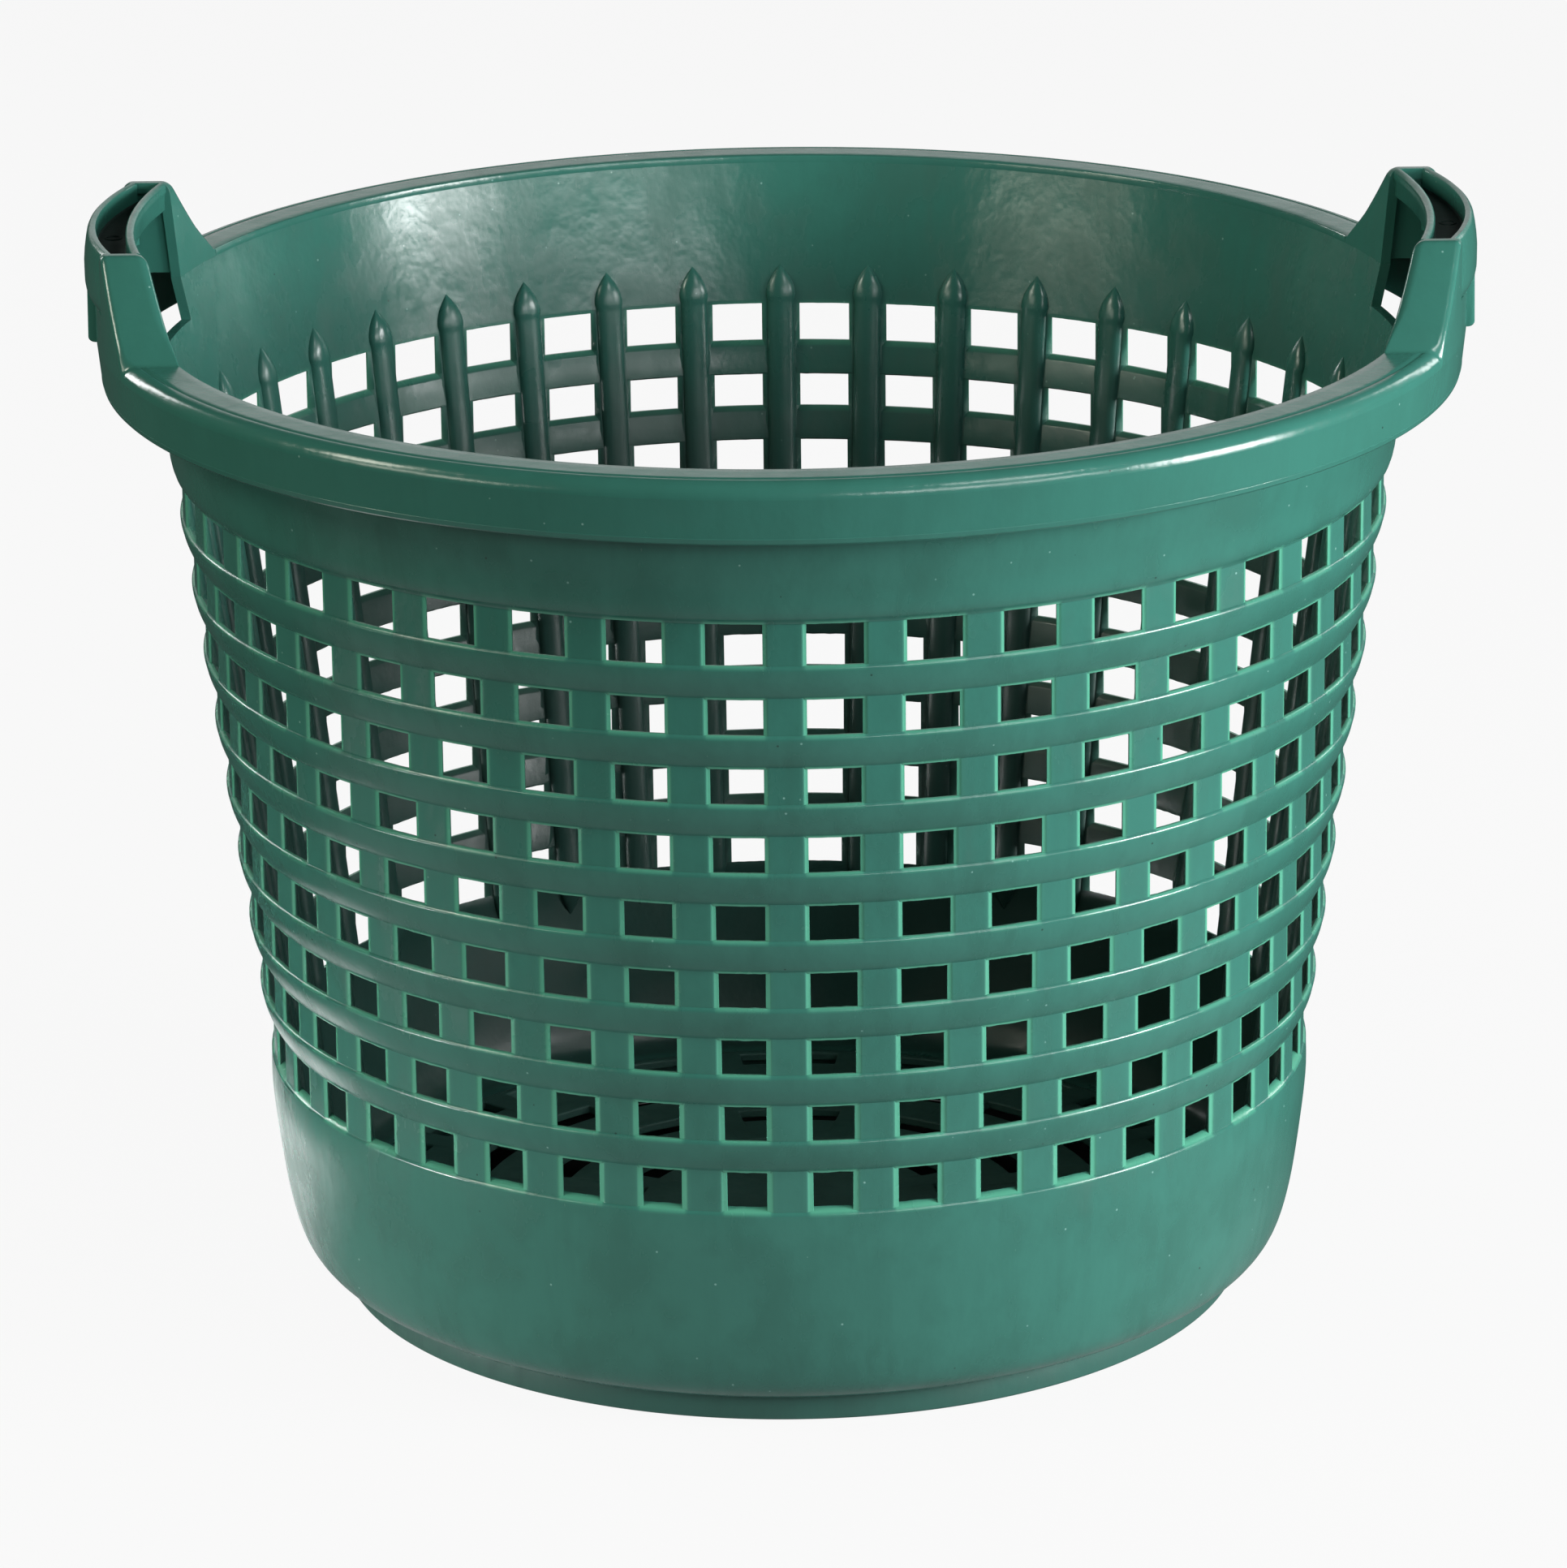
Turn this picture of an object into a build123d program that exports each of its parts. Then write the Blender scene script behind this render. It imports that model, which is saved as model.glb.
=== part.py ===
"""Leaf basket: a round openwork basket with a slotted floor, eight hoops, uprights and two grips."""
import math
import os

from build123d import *

# Driving sizes in millimetres, Z up, foot on Z = 0, grips on the X axis
upright_count = 40
hoop_count = 8
rim_radius = 262.0
rim_top = 390.0
rim_width = 20.5
rim_plate = 3.0
skirt_height = 23.0
skirt_wall = 3.0
skirt_draft = 1.7
shoulder_radius = 6.0
foot_inset = 26.0
foot_height = 10.8
foot_wall = 4.0
floor_top = 19.0
floor_plate = 3.6
floor_seat = 2.5

# Openwork wall
collar_height = 56.4
first_window = 16.6
last_window = 16.5
hoop_pitch = 27.25
hoop_height = 13.0
collar_flare = 11.1
core_lean = 0.127
hoop_stand = 2.3
crest_lean = 0.1295
hoop_taper = 3.9
upright_width = 13.4
rib_width = 10.0
rib_depth = 3.0
rib_tip = 14.0
strip_recess = 0.9
collar_wall = 3.8

# Floor slots
slot_rings = 4
slot_edge = 9.5
slot_pitch = 33.5
slot_length = 40.0
slot_width = 12.5
slot_bridge = 12.2

# Grips
grip_half_length = 57.0
grip_rise = 35.0
ramp_run = 32.0
ear_wall = 3.0
ear_lean = 2.9
finger_drop = 20.0
grip_bulge = 4.0
grip_wall = 3.5
grip_outer_wall = 5.0
grip_height = 25.0
grip_draw = 1.6
grip_depth = 8.0
grip_setback = 4.5
grip_step = 1.0
tab_drop = 10.0
tab_half_width = 15.0
ear_corner = 4.5

# Levels and radii that follow from the driving sizes
rim_inner_radius = rim_radius - rim_width
core_top_radius = rim_inner_radius - collar_flare
crest_top_radius = core_top_radius + hoop_stand
grip_inner_radius = rim_inner_radius + grip_setback
plate_bottom = rim_top - rim_plate
lattice_top = plate_bottom - collar_height
shoulder_bottom = rim_top - shoulder_radius
skirt_bottom = rim_top - skirt_height
hoop_step = hoop_pitch * crest_lean
grip_top = rim_top + grip_rise
web_outer = grip_half_length + ear_wall
ramp_base = web_outer + ramp_run
finger_bottom = rim_top - finger_drop
tab_bottom = rim_top - tab_drop
bow_bottom = grip_top - grip_height
plate_edge = rim_radius - shoulder_radius
skirt_inner = rim_radius - skirt_wall


def hoop_top(index):
    """Upper edge of a hoop, counted from 1 at the top."""
    return lattice_top - first_window - (index - 1) * hoop_pitch


def crest(index):
    """Outer radius of a hoop; one past the last is the top of the bowl."""
    return crest_top_radius - (index - 1) * hoop_step


bowl_top = hoop_top(hoop_count) - hoop_height - last_window
bowl_radius = crest(hoop_count + 1)
foot_radius = bowl_radius - foot_inset


def core(level):
    """Radius of the inner face of the openwork wall at a level."""
    return core_top_radius - core_lean * (lattice_top - level)


def collar_inner(level):
    """Radius of the inner face of the collar, which flares more than the wall below."""
    share = (level - lattice_top) / (plate_bottom - lattice_top)
    return core_top_radius + share * (rim_inner_radius - core_top_radius)


def turned(points):
    """Full ring turned about Z from (radius, level) points."""
    outline = [(radius, 0.0, level) for radius, level in points]
    return revolve(make_face(Polyline(*outline, close=True)), Axis.Z)


def turned_wire(edges):
    """Full ring turned about Z from a closed chain of edges in the XZ plane."""
    return revolve(make_face(edges), Axis.Z)


def spot(radius, level):
    return (radius, 0.0, level)


def quarter_round(centre_radius, centre_level, size, outwards):
    """Quarter circle in the XZ plane from its side point to its top point."""
    across = size if outwards else -size
    slant = math.sqrt(0.5)
    return ThreePointArc(
        spot(centre_radius + across, centre_level),
        spot(centre_radius + slant * across, centre_level + slant * size),
        spot(centre_radius, centre_level + size),
    )


def block(x0, x1, y0, y1, z0, z1):
    """Plain box between two corners."""
    return Pos((x0 + x1) / 2, (y0 + y1) / 2, (z0 + z1) / 2) * Box(x1 - x0, y1 - y0, z1 - z0)


def one(shape):
    """The single solid of a shape."""
    solids = shape.solids()
    if len(solids) != 1:
        raise ValueError("expected one solid, found %d" % len(solids))
    return solids[0]


# Floor with rings of keystone slots
floor_edge = foot_radius - floor_seat
slots = []
for ring in range(slot_rings):
    middle = floor_edge - slot_edge - ring * slot_pitch
    amount = round(2 * math.pi * middle / (slot_length + slot_bridge))
    arc = math.degrees(slot_length / middle)
    strip = make_face(
        Polyline(
            spot(middle - slot_width / 2, floor_top - 3 * floor_plate),
            spot(middle + slot_width / 2, floor_top - 3 * floor_plate),
            spot(middle + slot_width / 2, floor_top + floor_plate),
            spot(middle - slot_width / 2, floor_top + floor_plate),
            close=True,
        )
    )
    slot = Rot(0, 0, -arc / 2) * revolve(strip, Axis.Z, arc)
    for turn in range(amount):
        slots.append(Rot(0, 0, 90 + turn * 360 / amount) * slot)
floor_disc = Pos(0, 0, floor_top - floor_plate / 2) * Cylinder(floor_edge, floor_plate)
floor = one(floor_disc - slots)

# Foot under the bowl
foot_inner = foot_radius - foot_wall
foot = one(turned([(foot_inner, 0), (foot_radius, 0), (foot_radius, foot_height), (foot_inner, foot_height)]))

# Lower bowl, a curved band from the foot up to the last window row
outer_shape = ((0.135, 0.005), (0.42, 0.045), (0.64, 0.136), (0.80, 0.32), (0.92, 0.58))
inner_shape = ((0.24, 0.003), (0.47, 0.033), (0.61, 0.09), (0.73, 0.18), (0.86, 0.40))
bowl_inner_top = core(bowl_top)
outer_points = [spot(foot_radius, foot_height)]
for across, up in outer_shape:
    outer_points.append(
        spot(
            foot_radius + across * (bowl_radius - foot_radius),
            foot_height + up * (bowl_top - foot_height),
        )
    )
outer_points.append(spot(bowl_radius, foot_height + 0.82 * (bowl_top - foot_height)))
inner_points = [spot(floor_edge, floor_top)]
for across, up in inner_shape:
    inner_points.append(
        spot(
            floor_edge + across * (bowl_inner_top - floor_edge),
            floor_top + up * (bowl_top - floor_top),
        )
    )
inner_points.append(spot(bowl_inner_top, floor_top + 0.82 * (bowl_top - floor_top)))
bowl_edges = [
    Spline(*outer_points, tangents=((1, 0, 0), (0, 0, 1))),
    Line(outer_points[-1], spot(bowl_radius, bowl_top)),
    Line(spot(bowl_radius, bowl_top), spot(bowl_inner_top, bowl_top)),
    Line(spot(bowl_inner_top, bowl_top), inner_points[-1]),
    Spline(*inner_points, tangents=((1, 0, 0), (0, 0, 1))),
    Line(inner_points[0], spot(floor_edge, floor_top - floor_plate)),
    Line(spot(floor_edge, floor_top - floor_plate), spot(foot_inner, floor_top - floor_plate)),
    Line(spot(foot_inner, floor_top - floor_plate), spot(foot_inner, foot_height)),
    Line(spot(foot_inner, foot_height), outer_points[0]),
]
bowl = one(turned_wire(bowl_edges))

# Hoops, each proud at its upper edge and tapering in towards its lower edge
hoops = []
for index in range(1, hoop_count + 1):
    top = hoop_top(index)
    low = top - hoop_height
    edge = crest(index)
    hoops.append(
        one(
            turned(
                [
                    (core(top), top),
                    (edge - 0.5, top),
                    (edge, top - 0.5),
                    (edge, top - 0.42 * hoop_height),
                    (edge - 0.42 * hoop_taper, top - 0.72 * hoop_height),
                    (edge - hoop_taper, low),
                    (core(low), low),
                ]
            )
        )
    )

# Collar, the plain band between the openwork and the rim
collar_low = crest(1)
collar = turned(
    [
        (core_top_radius, lattice_top),
        (collar_low, lattice_top),
        (collar_low + 2.2, lattice_top + 0.25 * hoop_height),
        (collar_inner(lattice_top + 0.75 * hoop_height) + collar_wall, lattice_top + 0.75 * hoop_height),
        (rim_inner_radius + collar_wall, plate_bottom),
        (rim_inner_radius, plate_bottom),
    ]
)
finger_cut = block(
    -rim_radius, rim_radius, -grip_half_length, grip_half_length, finger_bottom, grip_top
)
collar = one(collar - finger_cut)

# One upright: an inner rib with pointed ends and outer strips between the hoops
rib_top = lattice_top + rib_tip
rib_low = bowl_top - rib_tip
crown = [
    (collar_inner(rib_top) - 0.2, rib_top),
    (core_top_radius - rib_depth, lattice_top),
    (core(bowl_top) - rib_depth, bowl_top),
    (core(bowl_top) - 0.3, rib_low),
]
back = [(core(bowl_top) + 1.0, rib_low)]
for index in range(hoop_count + 1, 0, -1):
    strip_radius = crest(index) - strip_recess
    strip_low = bowl_top if index == hoop_count + 1 else hoop_top(index)
    strip_top = lattice_top if index == 1 else hoop_top(index - 1) - hoop_height
    back.append((strip_radius, strip_low - 0.5 * hoop_height * (index <= hoop_count) - 1.0))
    back.append((strip_radius, strip_top + 1.0))
back.append((collar_inner(rib_top) + 1.0, rib_top))
upright_ring = turned(crown + back)
lean = Vector(core_lean, 0, 1)
rib_half = rib_width / 2 + 0.4
section = make_face(
    [
        Polyline(
            (core(0), -rib_half, 0),
            (core(0) + 2.0, -upright_width / 2, 0),
            (core(0) + 12.0, -upright_width / 2, 0),
            (core(0) + 12.0, upright_width / 2, 0),
            (core(0) + 2.0, upright_width / 2, 0),
            (core(0), rib_half, 0),
        ),
        ThreePointArc(
            (core(0), rib_half, 0),
            (core(0) - rib_depth - 0.6, 0, 0),
            (core(0), -rib_half, 0),
        ),
    ]
)
leaning_bar = extrude(section, amount=rim_top * lean.length, dir=lean)
half = upright_width
point_low = rib_low
outline = make_face(
    Polyline(
        (0, -0.4, rib_top),
        (0, -half, lattice_top + 2.0),
        (0, -half, bowl_top - 2.0),
        (0, -0.4, point_low),
        (0, 0.4, point_low),
        (0, half, bowl_top - 2.0),
        (0, half, lattice_top + 2.0),
        (0, 0.4, rib_top),
        close=True,
    )
)
pointed = extrude(outline, amount=rim_radius, dir=(1, 0, 0))
upright = upright_ring & leaning_bar & pointed
upright = one(upright - [collar, bowl] - hoops)

# Rim: flat plate, rounded shoulder and hanging skirt, open between the ears where the grips stand
gap = block(-rim_radius - 20, rim_radius + 20, -ramp_base, ramp_base, skirt_bottom, grip_top)
plate_ring = turned(
    [
        (rim_inner_radius, plate_bottom),
        (plate_edge, plate_bottom),
        (plate_edge, rim_top),
        (rim_inner_radius, rim_top),
    ]
)
shoulder_edges = [
    Line(spot(plate_edge, plate_bottom), spot(plate_edge, rim_top)),
    quarter_round(plate_edge, shoulder_bottom, shoulder_radius, True),
    Line(spot(rim_radius, shoulder_bottom), spot(skirt_inner, shoulder_bottom)),
    Line(spot(skirt_inner, shoulder_bottom), spot(plate_edge, plate_bottom)),
]
shoulder_ring = turned_wire(shoulder_edges)
skirt = one(
    turned(
        [
            (skirt_inner, shoulder_bottom),
            (rim_radius, shoulder_bottom),
            (rim_radius - skirt_draft, skirt_bottom),
            (skirt_inner - skirt_draft, skirt_bottom),
        ]
    )
)


def front_and_back(ring):
    """The two arcs that are left of a rim ring once the grip gaps are cut."""
    arcs = (ring - gap).solids()
    if len(arcs) != 2:
        raise ValueError("the rim should be left as two arcs")
    arcs = sorted(arcs, key=lambda arc: arc.center().Y)
    return arcs[0], arcs[1]


front_plate, back_plate = front_and_back(plate_ring)
front_shoulder, back_shoulder = front_and_back(shoulder_ring)

# One ear on the +X, +Y corner: a hollow ramp that lifts the rim up to the grip
ear_inner_top = rim_inner_radius + ear_lean
ear_edges = [
    Line(spot(rim_inner_radius, plate_bottom), spot(ear_inner_top, grip_top - ear_corner)),
    quarter_round(ear_inner_top + ear_corner, grip_top - ear_corner, ear_corner, False),
    Line(spot(ear_inner_top + ear_corner, grip_top), spot(rim_radius - 3.0, grip_top)),
    quarter_round(rim_radius - 3.0, grip_top - 3.0, 3.0, True),
    Line(spot(rim_radius, grip_top - 3.0), spot(rim_radius, shoulder_bottom)),
    Line(spot(rim_radius, shoulder_bottom), spot(skirt_inner, shoulder_bottom)),
    Line(spot(skirt_inner, shoulder_bottom), spot(skirt_inner, plate_bottom)),
    Line(spot(skirt_inner, plate_bottom), spot(rim_inner_radius, plate_bottom)),
]
ear_ring = turned_wire(ear_edges)


def under_ramp(drop, y0):
    """Space from y0 outwards that lies below the ramp, lowered by a drop."""
    corners = [
        (0, y0, skirt_bottom),
        (0, ramp_base, skirt_bottom),
        (0, ramp_base, rim_top - drop),
        (0, web_outer, grip_top - drop),
    ]
    if y0 < web_outer:
        corners.append((0, y0, grip_top - drop))
    face = make_face(Polyline(*corners, close=True))
    return extrude(face, amount=rim_radius + 20, dir=(1, 0, 0))


ramp_drop = ear_wall * math.hypot(grip_rise, ramp_run) / ramp_run
ear_block = ear_ring & under_ramp(0.0, grip_half_length)
hollow_ring = turned(
    [
        (rim_inner_radius + collar_wall, skirt_bottom),
        (skirt_inner, skirt_bottom),
        (skirt_inner, grip_top),
        (ear_inner_top + collar_wall, grip_top),
        (rim_inner_radius + collar_wall, plate_bottom),
    ]
)
ear = ear_block - (hollow_ring & under_ramp(ramp_drop, web_outer))
ear = ear - turned(
    [
        (rim_inner_radius + collar_wall, skirt_bottom),
        (skirt_inner, skirt_bottom),
        (skirt_inner, plate_bottom + 0.6 * rim_plate),
        (rim_inner_radius + collar_wall, plate_bottom + 0.6 * rim_plate),
    ]
)
ear = one(ear)

# One grip on +X: bowed outer wall, rounded inner wall and channel floor between the ears
end_x = math.sqrt(rim_radius ** 2 - grip_half_length ** 2)
bow = rim_radius + grip_bulge - end_x
bow_radius = (grip_half_length ** 2 + bow ** 2) / (2 * bow)
bow_centre = rim_radius + grip_bulge - bow_radius
channel_top = grip_top - grip_depth
between_ears = block(
    bow_centre, rim_radius + 40, -grip_half_length, grip_half_length, skirt_bottom, grip_top + 10
)


def bowed(points):
    """Ring about the grip's own upright axis, kept only between the ears."""
    outline = [(bow_centre + radius, 0.0, level) for radius, level in points]
    ring = revolve(
        make_face(Polyline(*outline, close=True)),
        Axis((bow_centre, 0, 0), (0, 0, 1)),
    )
    return ring & between_ears


outer_wall = bowed(
    [
        (bow_radius - grip_outer_wall, bow_bottom),
        (bow_radius - 2 * grip_step, bow_bottom),
        (bow_radius, bow_bottom + 5 * grip_step),
        (bow_radius, grip_top - grip_height / 2),
        (bow_radius - grip_draw, grip_top - grip_step),
        (bow_radius - grip_draw - grip_step, grip_top),
        (bow_radius - grip_outer_wall, grip_top),
    ]
)
apron = turned(
    [
        (rim_radius - grip_wall, shoulder_bottom),
        (rim_radius, shoulder_bottom),
        (rim_radius, bow_bottom + grip_step),
        (rim_radius - grip_wall, bow_bottom + grip_step),
    ]
)
tab = block(
    rim_radius - grip_step,
    rim_radius + grip_bulge - grip_step,
    -tab_half_width,
    tab_half_width,
    tab_bottom,
    bow_bottom + grip_step,
)
outer_wall = outer_wall + (apron & between_ears) + tab
outer_wall = one(outer_wall - skirt)
channel_inner = grip_inner_radius + grip_wall
lip_edges = [
    Line(spot(grip_inner_radius, channel_top - grip_wall), spot(channel_inner, channel_top - grip_wall)),
    Line(spot(channel_inner, channel_top - grip_wall), spot(channel_inner, grip_top - grip_wall / 2)),
    ThreePointArc(
        spot(channel_inner, grip_top - grip_wall / 2),
        spot(grip_inner_radius + grip_wall / 2, grip_top),
        spot(grip_inner_radius, grip_top - grip_wall / 2),
    ),
    Line(spot(grip_inner_radius, grip_top - grip_wall / 2), spot(grip_inner_radius, channel_top - grip_wall)),
]
inner_wall = one(turned_wire(lip_edges) & between_ears)
channel_floor = bowed(
    [
        (bow_radius - 4 * grip_wall - rim_radius + grip_inner_radius, channel_top - grip_wall),
        (bow_radius - grip_outer_wall, channel_top - grip_wall),
        (bow_radius - grip_outer_wall, channel_top),
        (bow_radius - 4 * grip_wall - rim_radius + grip_inner_radius, channel_top),
    ]
)
channel_floor = one(
    channel_floor - Pos(0, 0, grip_top / 2) * Cylinder(channel_inner, grip_top * 2)
)

# Named nodes
nodes = {
    "floor_plate": floor,
    "foot_ring": foot,
    "lower_bowl": bowl,
    "top_collar": collar,
    "rim_plate_front": front_plate,
    "rim_plate_back": back_plate,
    "rim_shoulder_front": front_shoulder,
    "rim_shoulder_back": back_shoulder,
    "rim_skirt": skirt,
}
for index, hoop in enumerate(hoops, start=1):
    nodes["hoop_%d" % index] = hoop

quarter = upright_count // 4
sides = (("right", 0), ("back", 90), ("left", 180), ("front", 270))
for side, heading in sides:
    first = -(quarter // 2)
    group = []
    for place in range(first, first + quarter):
        group.append(Rot(0, 0, heading + place * 360 / upright_count) * upright)
    nodes["uprights_" + side] = Compound(children=group)

for side, swing in (("right", 0), ("left", 180)):
    mirrored = ear.mirror(Plane.XZ)
    nodes[side + "_front_ear"] = Rot(0, 0, swing) * (mirrored if swing == 0 else ear)
    nodes[side + "_back_ear"] = Rot(0, 0, swing) * (ear if swing == 0 else mirrored)
    nodes[side + "_grip_outer_wall"] = Rot(0, 0, swing) * outer_wall
    nodes[side + "_grip_inner_wall"] = Rot(0, 0, swing) * inner_wall
    nodes[side + "_grip_floor"] = Rot(0, 0, swing) * channel_floor

os.makedirs("parts", exist_ok=True)
for name, shape in nodes.items():
    export_step(shape, "parts/" + name + ".step")
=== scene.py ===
"""Leaf basket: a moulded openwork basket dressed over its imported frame, laid out as an add-on."""
import math

import bmesh
import bpy
from bpy.props import FloatProperty, FloatVectorProperty, IntProperty, PointerProperty
from mathutils import Matrix, Vector, noise


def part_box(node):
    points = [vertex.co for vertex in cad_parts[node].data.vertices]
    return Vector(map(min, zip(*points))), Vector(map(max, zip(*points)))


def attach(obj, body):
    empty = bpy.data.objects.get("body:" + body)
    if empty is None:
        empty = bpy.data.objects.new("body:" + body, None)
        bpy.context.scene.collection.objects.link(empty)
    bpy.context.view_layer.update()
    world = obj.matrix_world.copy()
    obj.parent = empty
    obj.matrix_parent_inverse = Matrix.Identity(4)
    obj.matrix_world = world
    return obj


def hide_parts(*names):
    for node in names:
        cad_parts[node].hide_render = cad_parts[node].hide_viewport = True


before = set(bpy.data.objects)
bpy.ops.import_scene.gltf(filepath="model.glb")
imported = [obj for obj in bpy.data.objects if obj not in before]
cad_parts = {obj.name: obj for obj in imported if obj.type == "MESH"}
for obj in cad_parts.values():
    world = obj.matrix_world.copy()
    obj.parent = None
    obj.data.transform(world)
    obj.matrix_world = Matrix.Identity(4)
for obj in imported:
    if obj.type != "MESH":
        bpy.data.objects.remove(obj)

bl_info = {
    "name": "Leaf Basket",
    "version": (1, 0, 0),
    "blender": (4, 5, 0),
    "location": "3D View > Sidebar > Basket",
    "description": "Builds the moulded pieces of a leaf basket over its frame",
    "category": "Object",
}

MILLIMETRE = 0.001
FULL_TURN = 2 * math.pi
BODY = "root"
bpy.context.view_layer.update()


def low(node):
    """Lowest level of a frame node in millimetres."""
    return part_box(node)[0].z / MILLIMETRE


def high(node):
    """Highest level of a frame node in millimetres."""
    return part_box(node)[1].z / MILLIMETRE


def reach(node):
    """Largest X of a frame node in millimetres."""
    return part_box(node)[1].x / MILLIMETRE


# Levels and radii of the frame
LATTICE_TOP = low("top_collar")
PLATE_BOTTOM = high("top_collar")
RIM_TOP = high("rim_plate_front")
RIM_RADIUS = reach("rim_skirt")
SKIRT_TOP = high("rim_skirt")
SKIRT_BOTTOM = low("rim_skirt")
BOWL_TOP = high("lower_bowl")
BOWL_RADIUS = reach("lower_bowl")
FOOT_RADIUS = reach("foot_ring")
FOOT_TOP = high("foot_ring")
FLOOR_EDGE = reach("floor_plate")
FLOOR_TOP = high("floor_plate")
FLOOR_BOTTOM = low("floor_plate")
GRIP_TOP = high("right_grip_outer_wall")
GRIP_REACH = reach("right_grip_outer_wall")
TAB_BOTTOM = low("right_grip_outer_wall")
CHANNEL_TOP = high("right_grip_floor")
CHANNEL_BOTTOM = low("right_grip_floor")
EAR_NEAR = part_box("right_back_ear")[0].y / MILLIMETRE
EAR_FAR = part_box("right_back_ear")[1].y / MILLIMETRE
HOOP_COUNT = len([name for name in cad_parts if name.startswith("hoop_")])
UPRIGHT_COUNT = 40

# Radius of the circle in noise space on which the uneven flash is read
FLASH_SCALE = 95.0

# Small forms of the moulding, in millimetres
SINK_REACH = 5.0
RIB_SHOULDER = 3.0
LEVEL_STEP = 0.4
WEB_FRONT = 1.2
WEB_BACK = 3.0
WEB_LOW = 1.8
GRIP_OVERLAP = 1.0

# Streaks, clouds, coarse grain and painted shade of each finish, and 1 where the painted shade lies
# everywhere
# Painted shade darkens the inner faces low down, and the whole floor, foot ring and grip channels
FINISHES = {
    "Wall plastic": (0.45, 0.55, 0.5, 0.8, 0.0),
    "Floor plastic": (0.3, 0.5, 0.5, 0.6, 1.0),
    "Foot plastic": (0.45, 0.55, 0.5, 0.42, 1.0),
    "Rim plastic": (0.25, 0.25, 0.3, 0.0, 0.0),
    "Channel plastic": (0.3, 0.5, 0.5, 1.0, 1.0),
}


def length(name, description, default):
    """A size in metres whose default is given in millimetres."""
    return FloatProperty(name=name, description=description, default=default * MILLIMETRE, unit="LENGTH")


def share(name, description, default):
    """A plain factor."""
    return FloatProperty(name=name, description=description, default=default, subtype="FACTOR")


def colour(name, description, red, green, blue):
    """A linear colour."""
    default = (red, green, blue, 1.0)
    kind = {"size": 4, "subtype": "COLOR", "min": 0.0, "max": 1.0}
    return FloatVectorProperty(name=name, description=description, default=default, **kind)


class BasketSizes(bpy.types.PropertyGroup):
    """Sizes of the moulding that a user may change."""

    wall_lean: share("Wall lean", "How far the inner wall leans out for each unit of height", 0.127)
    core_top: length("Core radius", "Inner radius of the wall at the top of the openwork", 230.4)
    collar_inner: length("Collar radius", "Inner radius of the collar under the rim", 241.5)
    collar_wall: length("Collar wall", "Thickness of the collar", 3.8)
    plate_edge: length("Plate edge", "Radius where the flat rim turns into its shoulder", 256.0)
    skirt_wall: length("Skirt wall", "Thickness of the skirt under the rim", 3.0)
    skirt_draft: length("Skirt draft", "How far the skirt draws in towards its lower edge", 1.7)
    foot_wall: length("Foot wall", "Thickness of the foot ring", 4.0)
    finger_bottom: length("Finger sill", "Level of the sill of the finger openings", 370.0)
    upright_width: length("Upright width", "Width of the outer face of an upright", 13.4)
    strip_recess: length("Strip recess", "How far the uprights lie behind the hoop crests", 0.9)
    rib_width: length("Rib width", "Width of the inner ribs", 11.0)
    rib_depth: length("Rib depth", "Depth of the inner ribs", 3.0)
    rib_tip: length("Rib tip", "Height of the pointed rib ends above the openwork", 15.0)
    rib_foot: length("Rib foot", "Height of the pointed rib ends below the openwork", 14.0)
    frame_top: length("Frame width above", "Width of the thin window frames in the first row", 1.15)
    frame_low: length("Frame width below", "Width of the thin window frames in the last row", 1.9)
    flash: length("Flash", "Height of the uneven flash along the window edges", 0.32)
    hoop_taper: length("Hoop taper", "How far a hoop draws in towards its lower edge", 3.9)
    hoop_swell: length("Hoop swell", "How far the face of a hoop swells out of its straight taper", 0.6)
    sink: length("Sink mark", "Depth of the sink marks over the uprights", 0.16)
    slot_pitch: length("Slot pitch", "Distance between the rings of floor slots", 33.5)
    slot_edge: length("Slot edge", "Distance of the outer slot ring from the floor's edge", 9.5)
    slot_width: length("Slot width", "Width of a floor slot", 12.5)
    slot_length: length("Slot length", "Length of a floor slot", 40.0)
    slot_bridge: length("Slot bridge", "Plastic left between two floor slots", 12.2)
    hub_radius: length("Hub radius", "Radius of the circle in the middle of the floor", 6.0)
    lip_radius: length("Lip radius", "Inner radius of the rounded lip of a grip", 246.0)
    lip_wall: length("Lip wall", "Thickness of the lip of a grip", 3.5)
    grip_wall: length("Grip wall", "Thickness of the outer wall of a grip", 5.0)
    bow_bottom: length("Grip underside", "Lowest level of the bowed part of a grip", 400.0)
    tab_half: length("Tab half width", "Half width of the tab under a grip", 15.0)
    ear_corner: length("Ear corner", "Radius of the inner top corner of an ear", 4.5)
    ear_edge: length("Ear edge", "Rounding of the outer edge of an ear", 2.4)
    ear_lean: length("Ear lean", "How far the inner face of an ear leans out over its height", 2.9)
    ear_roof: length("Ear roof", "Depth of plastic over the hollow of an ear", 4.2)
    edge_round: length("Edge rounding", "Rounding of moulded outer edges", 0.7)
    slot_rings: IntProperty(name="Slot rings", description="Rings of slots in the floor", default=4)


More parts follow.
